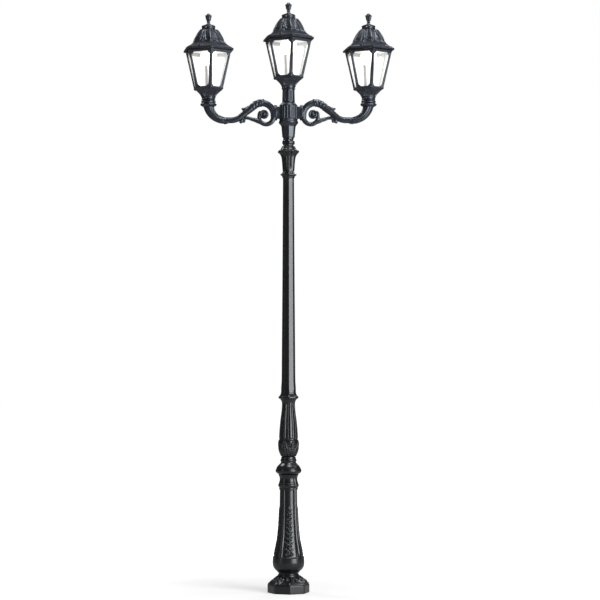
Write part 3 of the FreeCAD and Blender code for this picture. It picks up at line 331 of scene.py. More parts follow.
def polygon(angle, sides, sharp, turn):
    """How far out a rounded polygon reaches at an angle, 1 at its corners if they were sharp.

    The first corner is at the angle turn, and a larger sharp leaves less rounding.
    """
    total = 0
    for side in range(sides):
        facing = turn + (side + 0.5) * TAU / sides
        total = total + np.clip(np.cos(angle - facing), 0, 1) ** sharp
    return math.cos(math.pi / sides) / total ** (1 / sharp)


def turned(profile, count, radius, step=None, form=None, relief=None, ends=True):
    """A skin turned about Z in count steps, its outline softened by radius and divided by step.

    form gives a factor on the radius and relief a height over the skin, at an angle and a height up.
    """
    outline = softened(profile, radius)
    if step:
        outline = fine(outline, step)
    angle = np.arange(count)[None, :] * TAU / count
    across, up = outline[:, :1], outline[:, 1:]
    if form:
        across = across * form(angle, up)
    else:
        across = across + 0 * angle
    up = up + 0 * angle
    if relief:
        slope = np.gradient(outline, axis=0)
        length = np.maximum(np.linalg.norm(slope, axis=1, keepdims=True), 1e-6)
        facing = np.stack([slope[:, 1], -slope[:, 0]], axis=1) / length
        height = relief(angle, outline[:, 1:])
        across = across + height * facing[:, :1]
        up = up + height * facing[:, 1:]
    points = np.stack([across * np.cos(angle), across * np.sin(angle), up], axis=-1)
    return capped(points) if ends else grid(points)


def smooth(value, low, high):
    """0 below low, 1 above high, smooth between."""
    share = np.clip((value - low) / (high - low), 0, 1)
    return share * share * (3 - 2 * share)


def ridge(value, middle, width):
    """A round ridge: 1 at its middle, and all but gone at two widths from it."""
    return np.exp(-((value - middle) / width) ** 2)


def wrapped(angle):
    """An angle brought between minus and plus half a turn."""
    return (angle + math.pi) % TAU - math.pi


def off_middle(angle, count, start=0.0):
    """How far an angle lies from the nearest of count even marks, from -0.5 to 0.5 of their spacing."""
    sector = wrapped(angle - start) / (TAU / count)
    return sector - np.round(sector)


def leaf(x, y, root, tip, width, lobes, deep):
    """The height, 0 to 1, of a veined leaf that lies from root to tip on a flat map.

    Its edge has lobes cut in to the depth deep, a share of its width.
    """
    along = np.array(tip, float) - np.array(root, float)
    length = np.linalg.norm(along)
    along = along / length
    p = ((x - root[0]) * along[0] + (y - root[1]) * along[1]) / length
    q = (-(x - root[0]) * along[1] + (y - root[1]) * along[0])
    inside = np.clip(p, 0, 1)
    half = width * np.sin(math.pi * inside ** 0.75) ** 0.8
    half = half * (1 - deep * np.abs(np.sin(lobes * math.pi * inside))) + 1e-3
    rise = np.clip(1 - (np.abs(q) / half) ** 2, 0, 1) ** 0.5
    vein = 1 - 0.35 * np.exp(-(q / (0.1 * width)) ** 2)
    ribs = 1 - 0.18 * (0.5 + 0.5 * np.cos((p * lobes * 2 - np.abs(q) / width * 1.2) * TAU))
    return np.where((p > 0) & (p < 1), rise * vein * ribs, 0)


# Column

def octagon(sharp, low=None, high=None):
    """A form with eight sides, fading to round between two heights where they are given."""
    def form(angle, up):
        sides = polygon(angle, 8, sharp, COLUMN_TURN)
        if low is None:
            return sides + 0 * up
        share = smooth(up, low, high)
        return sides * (1 - share) + share
    return form


def foot_leaves(angle, up):
    """Sixteen pointed leaves that lie on the slope of the foot, large and small in turn."""
    count, slope_radius = 16, 104
    height = 0
    for index in range(count):
        large = index % 2 == 0
        middle = COLUMN_TURN + (index + 0.5) * TAU / count
        across = wrapped(angle - middle) * slope_radius
        root, tip = ((0, 121), (0, 71)) if large else ((0, 119), (0, 88))
        width, rise = (22, 10) if large else (15, 7)
        height = np.maximum(height, leaf(across, up + 0 * angle, root, tip, width, 3, 0.35) * rise)
        if large:
            eye = np.exp(-(across ** 2 + (up - 100) ** 2) / 40)
            height = height + eye * 3
    return height


def foot_cover():
    """The eight-sided plinth, a narrow step over it, and the slope up to the round neck."""
    profile = [(149, 0), (154, 1), (155, 4), (155, 58), (153.5, 61), (150, 62), (150, 65), (153, 66.5),
               (153, 70), (146, 73), (138, 80), (124, 88), (108, 96), (95, 105), (85, 114), (81, 120),
               (79, 125), (78, 129), (75, 133), (72, 138), (72, 143), (76, 147)]
    return turned(profile, 320, 1.5, 3, octagon(60, 68, 118), foot_leaves)


def column_panels(angle, up):
    """Four sunk panels of foliage between narrow raised strips, on the taper over the bulb."""
    bulb_top, panel_foot, panel_head = 252, 262, 752
    radius = np.interp(up, [250, 345, 455, 637], [111, 95, 77, 63])
    across = off_middle(angle, 4, COLUMN_TURN) * (TAU / 4) * radius
    half = radius * (TAU / 8) * 0.66
    inside = np.minimum(half - np.abs(across), np.minimum(up - panel_foot, panel_head - up) * 0.8)
    sunk = smooth(inside, 0, 3)
    rail = ridge(inside, -3, 2.2) * 2.52
    strip = ridge(np.abs(across), radius * TAU / 8, 5) * 3.12 * smooth(up, 250, 300)
    stem = ridge(across, 0, 2.2) * smooth(up, 285, 300) * (1 - smooth(up, 610, 640)) * 3.25
    height = 0
    level, last = 300.0, 610
    while level < last:
        room = np.interp(level, [300, 610], [44, 25])
        for way in (-1, 1):
            out = way * room * 0.82
            tip = (out, level + room * 0.72)
            height = np.maximum(height, leaf(across, up, (way * 2, level), tip, room * 0.26, 3, 0.4))
            root, tip = (way * 3, level + room * 0.35), (out * 0.75, level - room * 0.1)
            height = np.maximum(height, 0.8 * leaf(across, up, root, tip, room * 0.17, 2, 0.3))
        root, tip = (0, level + room * 0.3), (0, level + room * 1.05)
        height = np.maximum(height, 0.9 * leaf(across, up, root, tip, room * 0.2, 2, 0.3))
        level += room * 1.02
    for way in (-1, 1):
        curl = np.hypot(across - way * 21, up - 287)
        height = np.maximum(height, ridge(curl, 8, 2.6) * 0.8)
    foliage = np.maximum(height * 6, stem)
    return np.where(up > bulb_top, strip + rail - sunk * 4 + foliage * sunk, 0)


def base_column():
    """The bulb, the tall taper with its panels, and the rings that close it."""
    profile = [(79, 148), (83, 155), (92, 163), (99, 170), (105, 177), (110, 186), (114.5, 200),
               (116.5, 221), (115, 250), (110.5, 272), (102, 309), (95, 345), (87, 382), (82, 418),
               (78.5, 455), (75.5, 491), (73, 528), (71, 564), (69.5, 601), (68.5, 637), (68, 674),
               (67.5, 710), (67, 752), (67, 764), (69, 768), (73, 774), (75, 780), (75, 788), (72.5, 793),
               (69.5, 795), (70.5, 799), (69, 805), (66, 811), (64.5, 818), (64, 828), (65, 840), (69, 851),
               (74, 859.8)]
    return turned(profile, 384, 3, 2.6, relief=column_panels)


def cushion_ring():
    """The wide cushion, the taper over it, and a bead."""
    profile = [(68, 860.2), (71, 862), (77, 866), (83.5, 870), (89, 875), (92.4, 880), (94.4, 885.5),
               (94.6, 891), (93.4, 896), (91, 899.5), (90, 903), (88, 908), (84.5, 915), (80, 922),
               (76.5, 926.5), (74.6, 928), (72, 931), (66, 936.5), (60.5, 942), (56, 947), (54.6, 951),
               (55.6, 955), (58, 958), (59, 962), (59, 966), (57.6, 970), (54.6, 974), (53.4, 979),
               (53, 987.8)]
    return turned(profile, 160, 2.2)


def cup_leaves(angle, up):
    """Eight broad leaves round the baluster's foot, with berries in front, and the ribs over them."""
    between = off_middle(angle, 8, COLUMN_TURN) * (TAU / 8)
    radius = np.interp(up, [988, 1040, 1090, 1126, 1258, 1367, 1411], [50, 71, 74, 67, 56, 45, 58])
    across = between * radius
    half = np.abs(np.abs(between) - TAU / 16) * radius
    blade = leaf(half, up + 0 * angle, (0, 992), (0, 1117), 25, 4, 0.3) * 8
    small = leaf(across, up, (0, 990), (0, 1072), 17, 3, 0.35) * 6
    berries, berry, spacing = 0, 6, 14
    for in_row, level in ((1, 1010), (2, 1030), (3, 1052), (2, 1072)):
        for index in range(in_row):
            middle = (index - (in_row - 1) / 2) * spacing
            ball = 1 - ((across - middle) ** 2 + (up - level) ** 2) / berry ** 2
            berries = np.maximum(berries, np.clip(ball, 0, 1) ** 0.5 * berry)
    cup = np.maximum(np.maximum(blade, small), berries) - 3.5
    cup = cup * (1 - smooth(up, 1116, 1122))
    span = radius * TAU / 16
    fluted = smooth(up, 1118, 1130) * (1 - smooth(up, 1372, 1398))
    channel = ridge(across, 0, 3.4) * 6
    groove = ridge(np.abs(across), span, 2.4) * 2.5
    rib = np.sqrt(np.clip(1 - ((np.abs(across) - span * 0.5) / (span * 0.62)) ** 2, 0, 1)) * 2.2
    return cup + fluted * (rib - channel - groove)


def baluster():
    """The leaf cup, the fluted taper and the flare that carries the shaft's ring."""
    profile = [(49, 988.2), (51, 993), (56, 1000), (61, 1012), (66, 1024), (71, 1039), (73.5, 1058),
               (75, 1078), (76, 1094), (75, 1106), (71, 1116), (66.5, 1120), (67, 1128), (64, 1185),
               (61, 1215), (57.5, 1258), (52, 1295), (48, 1331), (45.5, 1367), (46.5, 1382), (50, 1394),
               (56, 1404), (61, 1410.8)]
    return turned(profile, 384, 4, 2.6, relief=cup_leaves)


def shaft_ring():
    """The ring in which the shaft stands."""
    profile = [(60, 1411.2), (68, 1413), (73, 1416), (75, 1420), (75, 1427), (72, 1431), (68, 1433),
               (66, 1437), (62, 1442), (58.5, 1449), (57.5, 1452), (57.5, 1457), (56, 1459), (55.4, 1463),
               (55.4, 1474.8)]
    return turned(profile, 160, 1.5, form=octagon(24))


def shaft():
    """The long taper with its eight flat sides."""
    profile = [(54.5, 1475.2), (54.5, 1484), (53.4, 1506), (51.4, 1530), (50.4, 1560), (48, 1900),
               (45, 2300), (42.6, 2700), (41, 3018.8)]
    return turned(profile, 160, 1, 60, octagon(90))


def shaft_collar():
    """The collar at the shaft's head."""
    profile = [(41, 3019.2), (43.5, 3024), (47, 3033), (50.5, 3039), (56, 3042), (59.7, 3046), (59.7, 3051),
               (56, 3055), (48, 3058), (45.5, 3062), (45.5, 3068), (43, 3070), (42.5, 3074.8)]
    return turned(profile, 160, 1.2, form=octagon(40))


def petal_rim(angle, up):
    """Eight hollow petals on the vase, with ribs between them, and a rim that curls out at their tips."""
    corner = np.abs(off_middle(angle, 8, COLUMN_TURN))
    tip = np.cos(corner * TAU) * -0.5 + 0.5
    rim = ridge(up, 3212, 9)
    rib = ridge(corner, 0, 0.07) * 1.2
    hollow = ridge(corner, 0.5, 0.2) * 3.0 * smooth(up, 3078, 3100) * (1 - smooth(up, 3175, 3200))
    vein = ridge(corner, 0.5, 0.03) * 1.6 * smooth(up, 3090, 3110)
    return rim * (tip - 0.75) * 7 + (rib - hollow + vein) * (1 - rim)


def capital():
    """The vase, its rim, and the slope over it."""
    profile = [(42, 3075.2), (42.5, 3079), (44, 3095), (46.5, 3135), (49, 3160), (52, 3176), (58, 3191),
               (66, 3200), (73, 3206), (78, 3210), (79.5, 3215), (78, 3220), (72, 3224), (65, 3226),
               (60, 3229), (56, 3236), (52, 3244), (47, 3254.8)]
    return turned(profile, 256, 1.5, 3, octagon(50, 3190, 3214), petal_rim)


def throat_ring():
    """Three beads round the throat."""
    profile = [(46, 3255.2), (42, 3257), (40, 3260), (40, 3265), (42, 3269), (46.5, 3273), (48, 3277),
               (48, 3282), (46.5, 3286), (47.4, 3289), (46.5, 3293), (43, 3298), (40, 3304), (40, 3313),
               (42, 3318.8)]
    return turned(profile, 128, 1.2, form=octagon(20))


def drum_flutes(angle, up):
    """Round hollows side by side round the hub's drum, with rounded ends."""
    count, drum_radius = 20, 66
    across = off_middle(angle, count) * TAU / count * drum_radius
    hollow = np.clip(1 - (across / 8.2) ** 2, 0, 1) ** 0.5
    return -3.6 * hollow * smooth(up, 3447, 3455) * (1 - smooth(up, 3541, 3550))


def hub():
    """The sleeve, its swelling, and the fluted drum that carries the arms."""
    profile = [(42, 3319.2), (46, 3321), (46.4, 3330), (48.5, 3353), (51.5, 3388), (53, 3399), (57, 3407),
               (63, 3415), (68, 3421), (71, 3427), (71.4, 3432), (70, 3437), (66, 3440), (65.5, 3443),
               (67, 3446), (67, 3551), (65, 3556), (60, 3562), (54, 3569), (47, 3572.8)]
    return turned(profile, 480, 1.5, 4, octagon(60, 3396, 3418), drum_flutes)


def neck_flats(angle, up):
    """Sixteen shallow upright flats on the tapered neck."""
    return np.cos(angle * 16) * 0.7 * smooth(up, 3576, 3584) * (1 - smooth(up, 3655, 3663))


def neck():
    """The tapered neck and the spigot that the middle lantern sits on."""
    profile = [(44, 3573.2), (46.5, 3575), (46.5, 3579), (45.5, 3582), (43.8, 3655), (43.8, 3660),
               (44.5, 3664), (44.5, 3669.6), (29.9, 3669.8), (29.9, 3721), (24, 3722)]
    return turned(profile, 192, 0.8, 8, relief=neck_flats)


# Each piece's maker and its finish
COLUMN_PIECES = (
    (foot_cover, "casting"),
    (base_column, "casting"),
    (cushion_ring, "casting"),
    (baluster, "casting"),
    (shaft_ring, "casting"),
    (shaft, "casting"),
    (shaft_collar, "casting"),
    (capital, "casting"),
    (throat_ring, "casting"),
    (hub, "head_casting"),
    (neck, "head_casting"),
)
for make, slot in COLUMN_PIECES:
    piece(make.__name__, make(), slot, "post", [make.__name__])


# Lanterns, worked out about their own upright axis with the seat at height 0 and the hinge towards X

CORNER = math.radians(30)
SIDE = TAU / 6
CAGE_FOOT, CAGE_TOP, ROOF_FOOT = 83.0, 344.0, 359.3
EAVE_FLAT = 200 * math.cos(CORNER)
HINGE_OUT, HINGE_UP = EAVE_FLAT + 6.5, ROOF_FOOT + 2.6
KNUCKLE = 12
LATCH_OUT = EAVE_FLAT - 22
BAR = 16
SCREW_TURNS = (60, 180, 300)

# The moulding of a cage side, from its outline in to the window: share of the way, height over the side
MOULDING = ((0, 1.4), (0.1, 1.4), (0.16, 0.4), (0.2, -0.5), (0.28, 0.6), (0.36, 0.9), (0.66, 0.9),
            (0.72, 0.1), (0.8, -1.6), (0.93, -2.2), (0.98, -3.0), (1.0, -4.0), (1.0, -6.5), (0.9, -7),
            (0, -7))


def hexagon(sharp, low=None, high=None, top_sharp=None):
    """A form with six sides whose flats face X; it may soften between two heights."""
    def form(angle, up):
        sides = polygon(angle, 6, sharp, CORNER)
        if low is None:
            return sides + 0 * up
        share = smooth(up, low, high)
        return sides * (1 - share) + polygon(angle, 6, top_sharp, CORNER) * share
    return form


def aimed(shape, angle, reach, up):
    """A shape made along Z laid level, pointing outward at an angle, from a reach and a height."""
    verts, faces = shape
    c, s = math.cos(angle), math.sin(angle)
    turn = np.array([[-s, c, 0], [0, 0, 1], [c, s, 0]])
    return verts @ turn + np.array([c * reach, s * reach, up]), faces


def along_y(shape, x, y, z):
    """A shape made along Z laid along Y."""
    verts, faces = shape
    return verts @ np.array([[0, 0, 1], [1, 0, 0], [0, 1, 0]]) + np.array([x, y, z]), faces


def block(low, high, round_off=1.0):
    """A block between two corners with softened edges."""
    low, high = np.array(low, float), np.array(high, float)
    middle, half = (low + high) / 2, (high - low) / 2
    corners = [(-1, -1), (1, -1), (1, 1), (-1, 1)]
    ring = []
    for x, y in corners:
        for dx, dy in ((1, 0), (0, 1)) if x * y < 0 else ((0, 1), (1, 0)):
            ring.append((x * (half[0] - dx * round_off), y * (half[1] - dy * round_off)))
    ring = np.array(ring)
    inner = ring * (1 - round_off / half[:2])
    top, edge = half[2], half[2] - round_off
    rows = []
    for plan, z in ((inner, -top), (ring, -edge), (ring, edge), (inner, top)):
        rows.append(np.column_stack([plan, np.full(len(plan), z)]))
    verts, faces = capped(np.array(rows))
    return verts + middle, faces


def knuckle(start, length):
    """A knuckle of the hinge: a tube with bevelled ends round the pin, from a place along it."""
    profile = [(2.6, 0.2), (4.6, 0.2), (5.5, 1), (5.5, length - 1), (4.6, length - 0.2),
               (2.6, length - 0.2)]
    return along_y(turned(profile, 32, 0.5), HINGE_OUT, start, HINGE_UP)


def cage_reach(up):
    """How far the cage's corners stand out at a height."""
    foot_reach, flare = 113, 63
    return foot_reach + flare * (up - CAGE_FOOT) / (CAGE_TOP - CAGE_FOOT)


def cup_arches(angle, up):
    """Twelve upright arched leaves round the cup, with a dart between each two."""
    across = np.abs(off_middle(angle, 12)) * 2
    rise = np.clip((up - 28) / 44, 0, 1)
    arch = 0.84 * np.sqrt(np.clip(1 - rise ** 2.6, 0, 1))
    inside = arch - across
    rib = ridge(inside, 0.08, 0.07) * 2.2
    hollow = smooth(inside, 0.12, 0.25) * 1.8
    vein = ridge(across, 0, 0.08) * 2.2 * smooth(inside, 0.1, 0.3)
    dart = ridge(across, 1, 0.1) * 1.6 * smooth(rise, 0.15, 0.5)
    return (rib - hollow + vein + dart) * smooth(up, 26, 30) * (1 - smooth(up, 72, 76))


def socket_cup():
    """The collar with its beads, and the leafy cup that widens up to the cage's foot."""
    profile = [(30.6, 0.2), (45, 0.2), (49, 1.5), (50.4, 4), (50.4, 7), (48.8, 9.5), (48.4, 11), (49.4, 18),
               (51.6, 20.5), (52.6, 23), (52, 26), (52.6, 30), (55.5, 36), (60, 43), (65.5, 49.5), (72, 56),
               (79, 63), (86, 70), (91, 75), (93.5, 76.5), (97, 78.5), (99, 82.7), (93, 82.8), (60, 60),
               (30.6, 60)]
    return turned(profile, 288, 1.2, 2.2, relief=cup_arches)


def screw(radius, length, recess):
    """A screw head along Z with a rounded edge, and a socket that takes up a share of its width."""
    profile = [(radius, 0), (radius, length * 0.6), (radius * 0.8, length), (radius * recess, length),
               (radius * recess * 0.9, length - radius * 0.5)]
    return turned(profile, 24, radius * 0.2)


def socket_screws():
    """Three set screws round the collar."""
    head = screw(4, 2.6, 0.5)
    return joined(*[aimed(head, math.radians(turn), 47.6, 13.5) for turn in SCREW_TURNS])


def window_ears(count):
    """The round ears in the corners of a side's window, as four runs of points that go round it."""
    low, high, ear = 88.0, 338.0, 15.0
    runs = []
    for way, up, start in ((-1, low, 90), (1, low, 180), (1, high, 270), (-1, high, 360)):
        centre = np.array([way * (cage_reach(up) / 2 - BAR), up])
        sweep = np.radians(np.linspace(start, start - 90, count))
        runs.append(centre + ear * np.column_stack([np.cos(sweep), np.sin(sweep)]))
    return runs


def cage_side(turn):
    """One side of the cage: bars and rails moulded from the corners in to the eared window."""
    ears = window_ears(20)
    loops = []
    for index in range(4):
        here, after = ears[index], ears[(index + 1) % 4]
        first, last = here[len(here) // 2:], after[:len(after) // 2 + 1]
        straight = first[-1] + (last[0] - first[-1]) * np.linspace(0, 1, 14)[1:-1, None]
        loops.append(np.vstack([first, straight, last[:-1]]))
    corners = [(-1, CAGE_FOOT), (1, CAGE_FOOT), (1, CAGE_TOP), (-1, CAGE_TOP)]
    rows = []
    for share, height in MOULDING:
        ring = []
        for index, loop in enumerate(loops):
            (side, up), (next_side, next_up) = corners[index], corners[(index + 1) % 4]
            travel = np.linspace(0, 1, len(loop), endpoint=False)[:, None]
            outer_up = up + (next_up - up) * travel
            outer_side = side + (next_side - side) * travel
            reach = cage_reach(outer_up) / 2 + height * math.tan(CORNER)
            outer = np.hstack([outer_side * reach, outer_up])
            ring.append(outer * (1 - share) + loop * share)
        ring = np.vstack(ring)
        out = cage_reach(ring[:, 1]) * math.cos(CORNER) + height
        rows.append(np.column_stack([out, ring[:, 0], ring[:, 1]]))
    return moved(grid(np.array(rows)), turn=turn)


def cage_frame():
    """The six sides, the foot and head rails that run round them, and the hinge's two brackets."""
    sides = [cage_side(index * SIDE) for index in range(6)]
    foot_rail = [(84, 90), (84, 77.5), (100, 76), (110, 77), (116.5, 80), (118.6, 83.5), (118.4, 86.5),
                 (116.4, 89.5), (115, 90.5), (114.8, 93), (113, 94), (98, 94)]
    head_rail = [(150, 339), (170, 338.6), (174.5, 339.4), (176, 341.5), (176.4, 343.4), (180.5, 344.4),
                 (181, 349), (181, 355.6), (160, 355.8), (158, 345)]
    shapes = [*sides, turned(foot_rail, 144, 1.2, form=hexagon(90), ends=False),
              turned(head_rail, 144, 1.2, form=hexagon(120), ends=False)]
    for start in (15.3, -15.3 - KNUCKLE):
        end = start + KNUCKLE
        ledge = block((151, start, 344.5), (HINGE_OUT + 5.4, end, 350.5))
        web = block((HINGE_OUT - 3.4, start, 347), (HINGE_OUT + 5.4, end, HINGE_UP))
        shapes += [knuckle(start, KNUCKLE), ledge, web]
    return joined(*shapes)


def roof_relief(angle, up):
    """Petals with rolled edges over the corners, a slim leaf in each opening, a band over the eave."""
    away = np.abs(off_middle(angle, 6)) * 2
    rise = np.clip((up - 410) / 102, 0, 1)
    edge = 0.05 + 0.3 * (1 - rise) ** 1.3 + 0.72 * np.exp(-rise / 0.07)
    inside = away - edge
    on_bell = smooth(up, 408, 413) * (1 - smooth(up, 509, 515))
    petal = smooth(inside, -0.03, 0.05) * 3.4 + smooth(inside, 0.2, 0.7) * 1.6
    rolled = ridge(inside, 0.06, 0.045) * 2.0 + ridge(inside, 0.26, 0.05) * 0.8
    rolled = rolled - ridge(inside, 0.17, 0.035) * 1.7
    blade = 0.24 * np.clip(1 - rise / 0.72, 0, 1) ** 1.15
    slim_leaf = smooth(blade - away, -0.02, 0.03) * 2.2 * smooth(blade, 0.0, 0.03)
    midrib = ridge(away, 0, 0.03) * 1.4 * smooth(blade, 0.02, 0.06)
    level = np.abs(up - 381)
    scrolls = (0.5 + 0.5 * np.cos((away * 6 - level * 0.16) * TAU)) ** 0.8
    band = ridge(level, 0, 4.2) * (0.6 + scrolls * 3.0)
    return (petal + rolled + slim_leaf + midrib) * on_bell + band


def roof():
    """The roof's outside and inside skins, its latch seat and its knuckle."""
    outside = [(158, 359.6), (197, 359.4), (199.6, 361), (200, 363.5), (199.2, 364.8), (197.6, 365.8),
               (199, 366.8), (199.6, 368.5), (199.4, 370.6), (197.4, 372.2), (193, 374), (188, 376.2),
               (181, 379.5), (173.5, 384), (165, 389.5), (156.5, 395.5), (148, 401.6), (141, 407),
               (134, 412.4), (128, 417), (123.4, 421.5), (120.4, 427), (118.6, 434), (116, 442), (112, 450),
               (107.5, 458), (103, 466), (98.5, 474), (93.5, 482), (88, 489), (82, 497), (75, 505),
               (66, 511.5), (57, 516), (48, 519)]
    skin = turned(outside, 576, 1.0, 2.0, hexagon(100, 400, 425, 60), roof_relief, ends=False)
    inside = [(158, 359.6), (158, 366), (166, 373), (140, 398), (124, 410), (114, 420), (106, 445),
              (93, 470), (78, 492), (60, 508), (12, 512)]
    verts, faces = turned(inside, 96, 2, form=hexagon(60, 390, 430, 24), ends=False)
    hollow = (verts, [face[::-1] for face in faces])
    boss = turned([(45, 517), (45, 537), (8, 538)], 64, 1)
    half = 15
    web = block((170, -half, ROOF_FOOT + 0.4), (HINGE_OUT, half, ROOF_FOOT + 5.5))
    seat = turned([(10, 360), (10, 379.5), (9, 380.5), (3.2, 380.6)], 40, 0.5)
    ring = [(14, 366), (14, 386), (13, 388.5), (11.4, 389), (10.4, 387.5), (10.2, 380)]
    latch_seat = moved(joined(seat, turned(ring, 40, 0.8, ends=False)), (-LATCH_OUT, 0, 0))
    return joined(skin, hollow, boss, knuckle(-half, 2 * half), web, latch_seat)


def lamp():
    """The opal globe, round from its foot up to its neck, and the screwed base over it."""
    globe, middle = 60, 313.3
    profile = [(0.5, middle - globe)]
    for step in range(1, 15):
        turn = math.radians(-90 + step * 9.2)
        profile.append((globe * math.cos(turn), middle + globe * math.sin(turn)))
    profile += [(30, 365), (24, 371), (19.5, 378), (17.5, 386), (17, 394), (17, 436)]
    return turned(profile, 96, 3)


def crown_cap():
    """The round cap with its rolled skirt."""
    profile = [(44, 521.4), (48, 521.4), (49, 523), (48.6, 533), (49.6, 534.6), (50.8, 537), (50.6, 540.4),
               (49, 543.4), (45, 545.8), (38, 548.6), (30, 550.8), (22, 552.4), (18.5, 553.4), (12, 553.4)]
    return turned(profile, 128, 1.5)


def cap_screws():
    """Three screws on washers round the cap."""
    head = screw(4.6, 2.8, 0.42)
    washer = turned([(5.4, 0), (5.4, 0.7), (4, 0.9)], 24, 0.2)
    shapes = []
    for turn in np.radians(SCREW_TURNS):
        shapes += [aimed(head, turn, 48.9, 529.3), aimed(washer, turn, 48.8, 529.3)]
    return joined(*shapes)


def bud_petals(angle, up):
    """Six upright petals that part towards their tips and curl out."""
    away = np.abs(off_middle(angle, 6)) * 2
    opening = np.clip((up - 583) / 36, 0, 1) ** 2
    part = ridge(away, 1, 0.06 + 0.3 * opening) * (1.2 + 4.6 * opening)
    vein = ridge(away, 0, 0.09) * 0.8
    rim = ridge(away, 0.78 - 0.3 * opening, 0.1) * 0.7
    return (vein + rim - part) * smooth(up, 582, 588) * (1 - smooth(up, 619, 621))


def finial():
    """The ringed stem, the bud in its petals, and the point."""
    profile = [(19, 553.6), (18, 556), (14, 559), (11, 563), (10, 567), (10, 569.5), (13.5, 570.5),
               (15, 572), (15, 574), (13.5, 575.5), (10.5, 577), (10.2, 579), (12, 581), (16, 586),
               (18.5, 592), (19.6, 600), (20.6, 607), (22.6, 613), (25, 617), (25.6, 619), (24, 620.2),
               (19, 619), (17, 619.6), (16.5, 623), (14, 628), (10, 632), (5, 634.4), (0.6, 635)]
    return turned(profile, 144, 1.2, 1.6, relief=bud_petals)


def knurl(angle, up):
    """Twenty-eight fine ribs round the thumb screw's head."""
    return 0.35 * np.cos(angle * 28) * smooth(up, 382.5, 383.5) * (1 - smooth(up, 390, 391))


def latch_screw():
    """The thumb screw: its thread, and its knurled head in the seat."""
    profile = [(1, 347.4), (2.9, 348), (2.9, 381), (7.6, 381.1), (8.7, 382), (8.7, 391), (7.8, 392.6),
               (4, 392.9), (3.6, 391.8), (1, 391.8)]
    return moved(turned(profile, 112, 0.5, 1.5, relief=knurl), (-LATCH_OUT, 0, 0))


# Each piece's maker, its finish, and the body of its lantern that it rides on; the rest ride on the post
LANTERN_PIECES = (
    (socket_cup, "head_casting", None),
    (socket_screws, "screws", None),
    (cage_frame, "head_casting", None),
    (roof, "head_casting", "roof_set"),
    (lamp, "opal", "roof_set"),
    (crown_cap, "head_casting", "roof_set"),
    (cap_screws, "screws", "roof_set"),
    (finial, "head_casting", "roof_set"),
    (latch_screw, "head_casting", "latch"),
)
for make, slot, part in LANTERN_PIECES:
    made = make()
    for side, (out, seat) in SEATS.items():
        name = f"{side}_{make.__name__}"
        body = f"{side}_{part}" if part else "post"
        piece(name, moved(made, (out, 0, seat), LANTERN_TURN), slot, body, [name])


# Arms, worked out for the right one; the left one mirrors it

# The height of the low run, the middle of the hump, the radii of the bends, and the slope in degrees
LOW_RUN = 3445.6
HUMP_MIDDLE = (195.5, 3484.0)
HUMP_RADIUS, VALLEY_RADIUS, ELBOW_RADIUS = 87.5, 110, 120
SLOPE = 39.5


def bend(centre, radius, start, stop, count):
    """Points of an arc in the arm's plane, angles in degrees from the level."""
    turn = np.radians(np.linspace(start, stop, count))
    return np.column_stack([centre[0] + radius * np.cos(turn), centre[1] + radius * np.sin(turn)])


def even(route, step):
    """The route divided evenly, with the length along it at each place."""
    route = np.array(route, float)
    length = np.concatenate([[0], np.cumsum(np.linalg.norm(np.diff(route, axis=0), axis=1))])
    places = np.linspace(0, length[-1], max(3, int(length[-1] / step)))
    points = [np.interp(places, length, route[:, axis]) for axis in (0, 1)]
    return np.column_stack(points), places


def swept(route, radius, count, step, relief=None, flat=1.0):
    """A skin along a route in the arm's plane, with a radius for each place, made in count steps round.

    relief gives a height over the skin, at an angle round it, 0 on its left side, and a length along it.
    flat narrows it across the arm's plane.
    """
    route, length = even(route, step)
    way = np.gradient(route, axis=0)
    way = way / np.linalg.norm(way, axis=1, keepdims=True)
    left = np.column_stack([-way[:, 1], way[:, 0]])
    angle = np.arange(count)[None, :] * TAU / count
    size = radius(length / length[-1])[:, None]
    rise = relief(angle, length[:, None], length[-1]) if relief else 0
    across = (size + rise) * np.cos(angle)
    through = (size * flat + rise) * np.sin(angle)
    out, up = route[:, :1] + left[:, :1] * across, route[:, 1:] + left[:, 1:] * across
    return capped(np.stack([out, through, up], axis=-1))


def girth(*stops):
    """A radius that goes through (share of the length, radius) stops."""
    shares, sizes = zip(*stops)
    return lambda share: np.interp(share, shares, sizes)


def arm_route():
    """The arm's middle line: over the hump, down the slope, along the low run, up to the lantern."""
    tilt = math.radians(SLOPE)
    hump = bend(HUMP_MIDDLE, HUMP_RADIUS, 180, 90 - SLOPE, 40)
    valley_up = LOW_RUN + VALLEY_RADIUS
    fall = hump[-1][1] - (valley_up - VALLEY_RADIUS * math.cos(tilt))
    valley_out = hump[-1][0] + fall / math.tan(tilt) + VALLEY_RADIUS * math.sin(tilt)
    valley = bend((valley_out, valley_up), VALLEY_RADIUS, 270 - SLOPE, 270, 24)
    elbow = bend((ARM_REACH - ELBOW_RADIUS, LOW_RUN + ELBOW_RADIUS), ELBOW_RADIUS, 270, 350, 40)
    return np.vstack([[(108, 3452), (107, 3468)], hump[2:], valley, elbow, [(ARM_REACH, 3556)]])


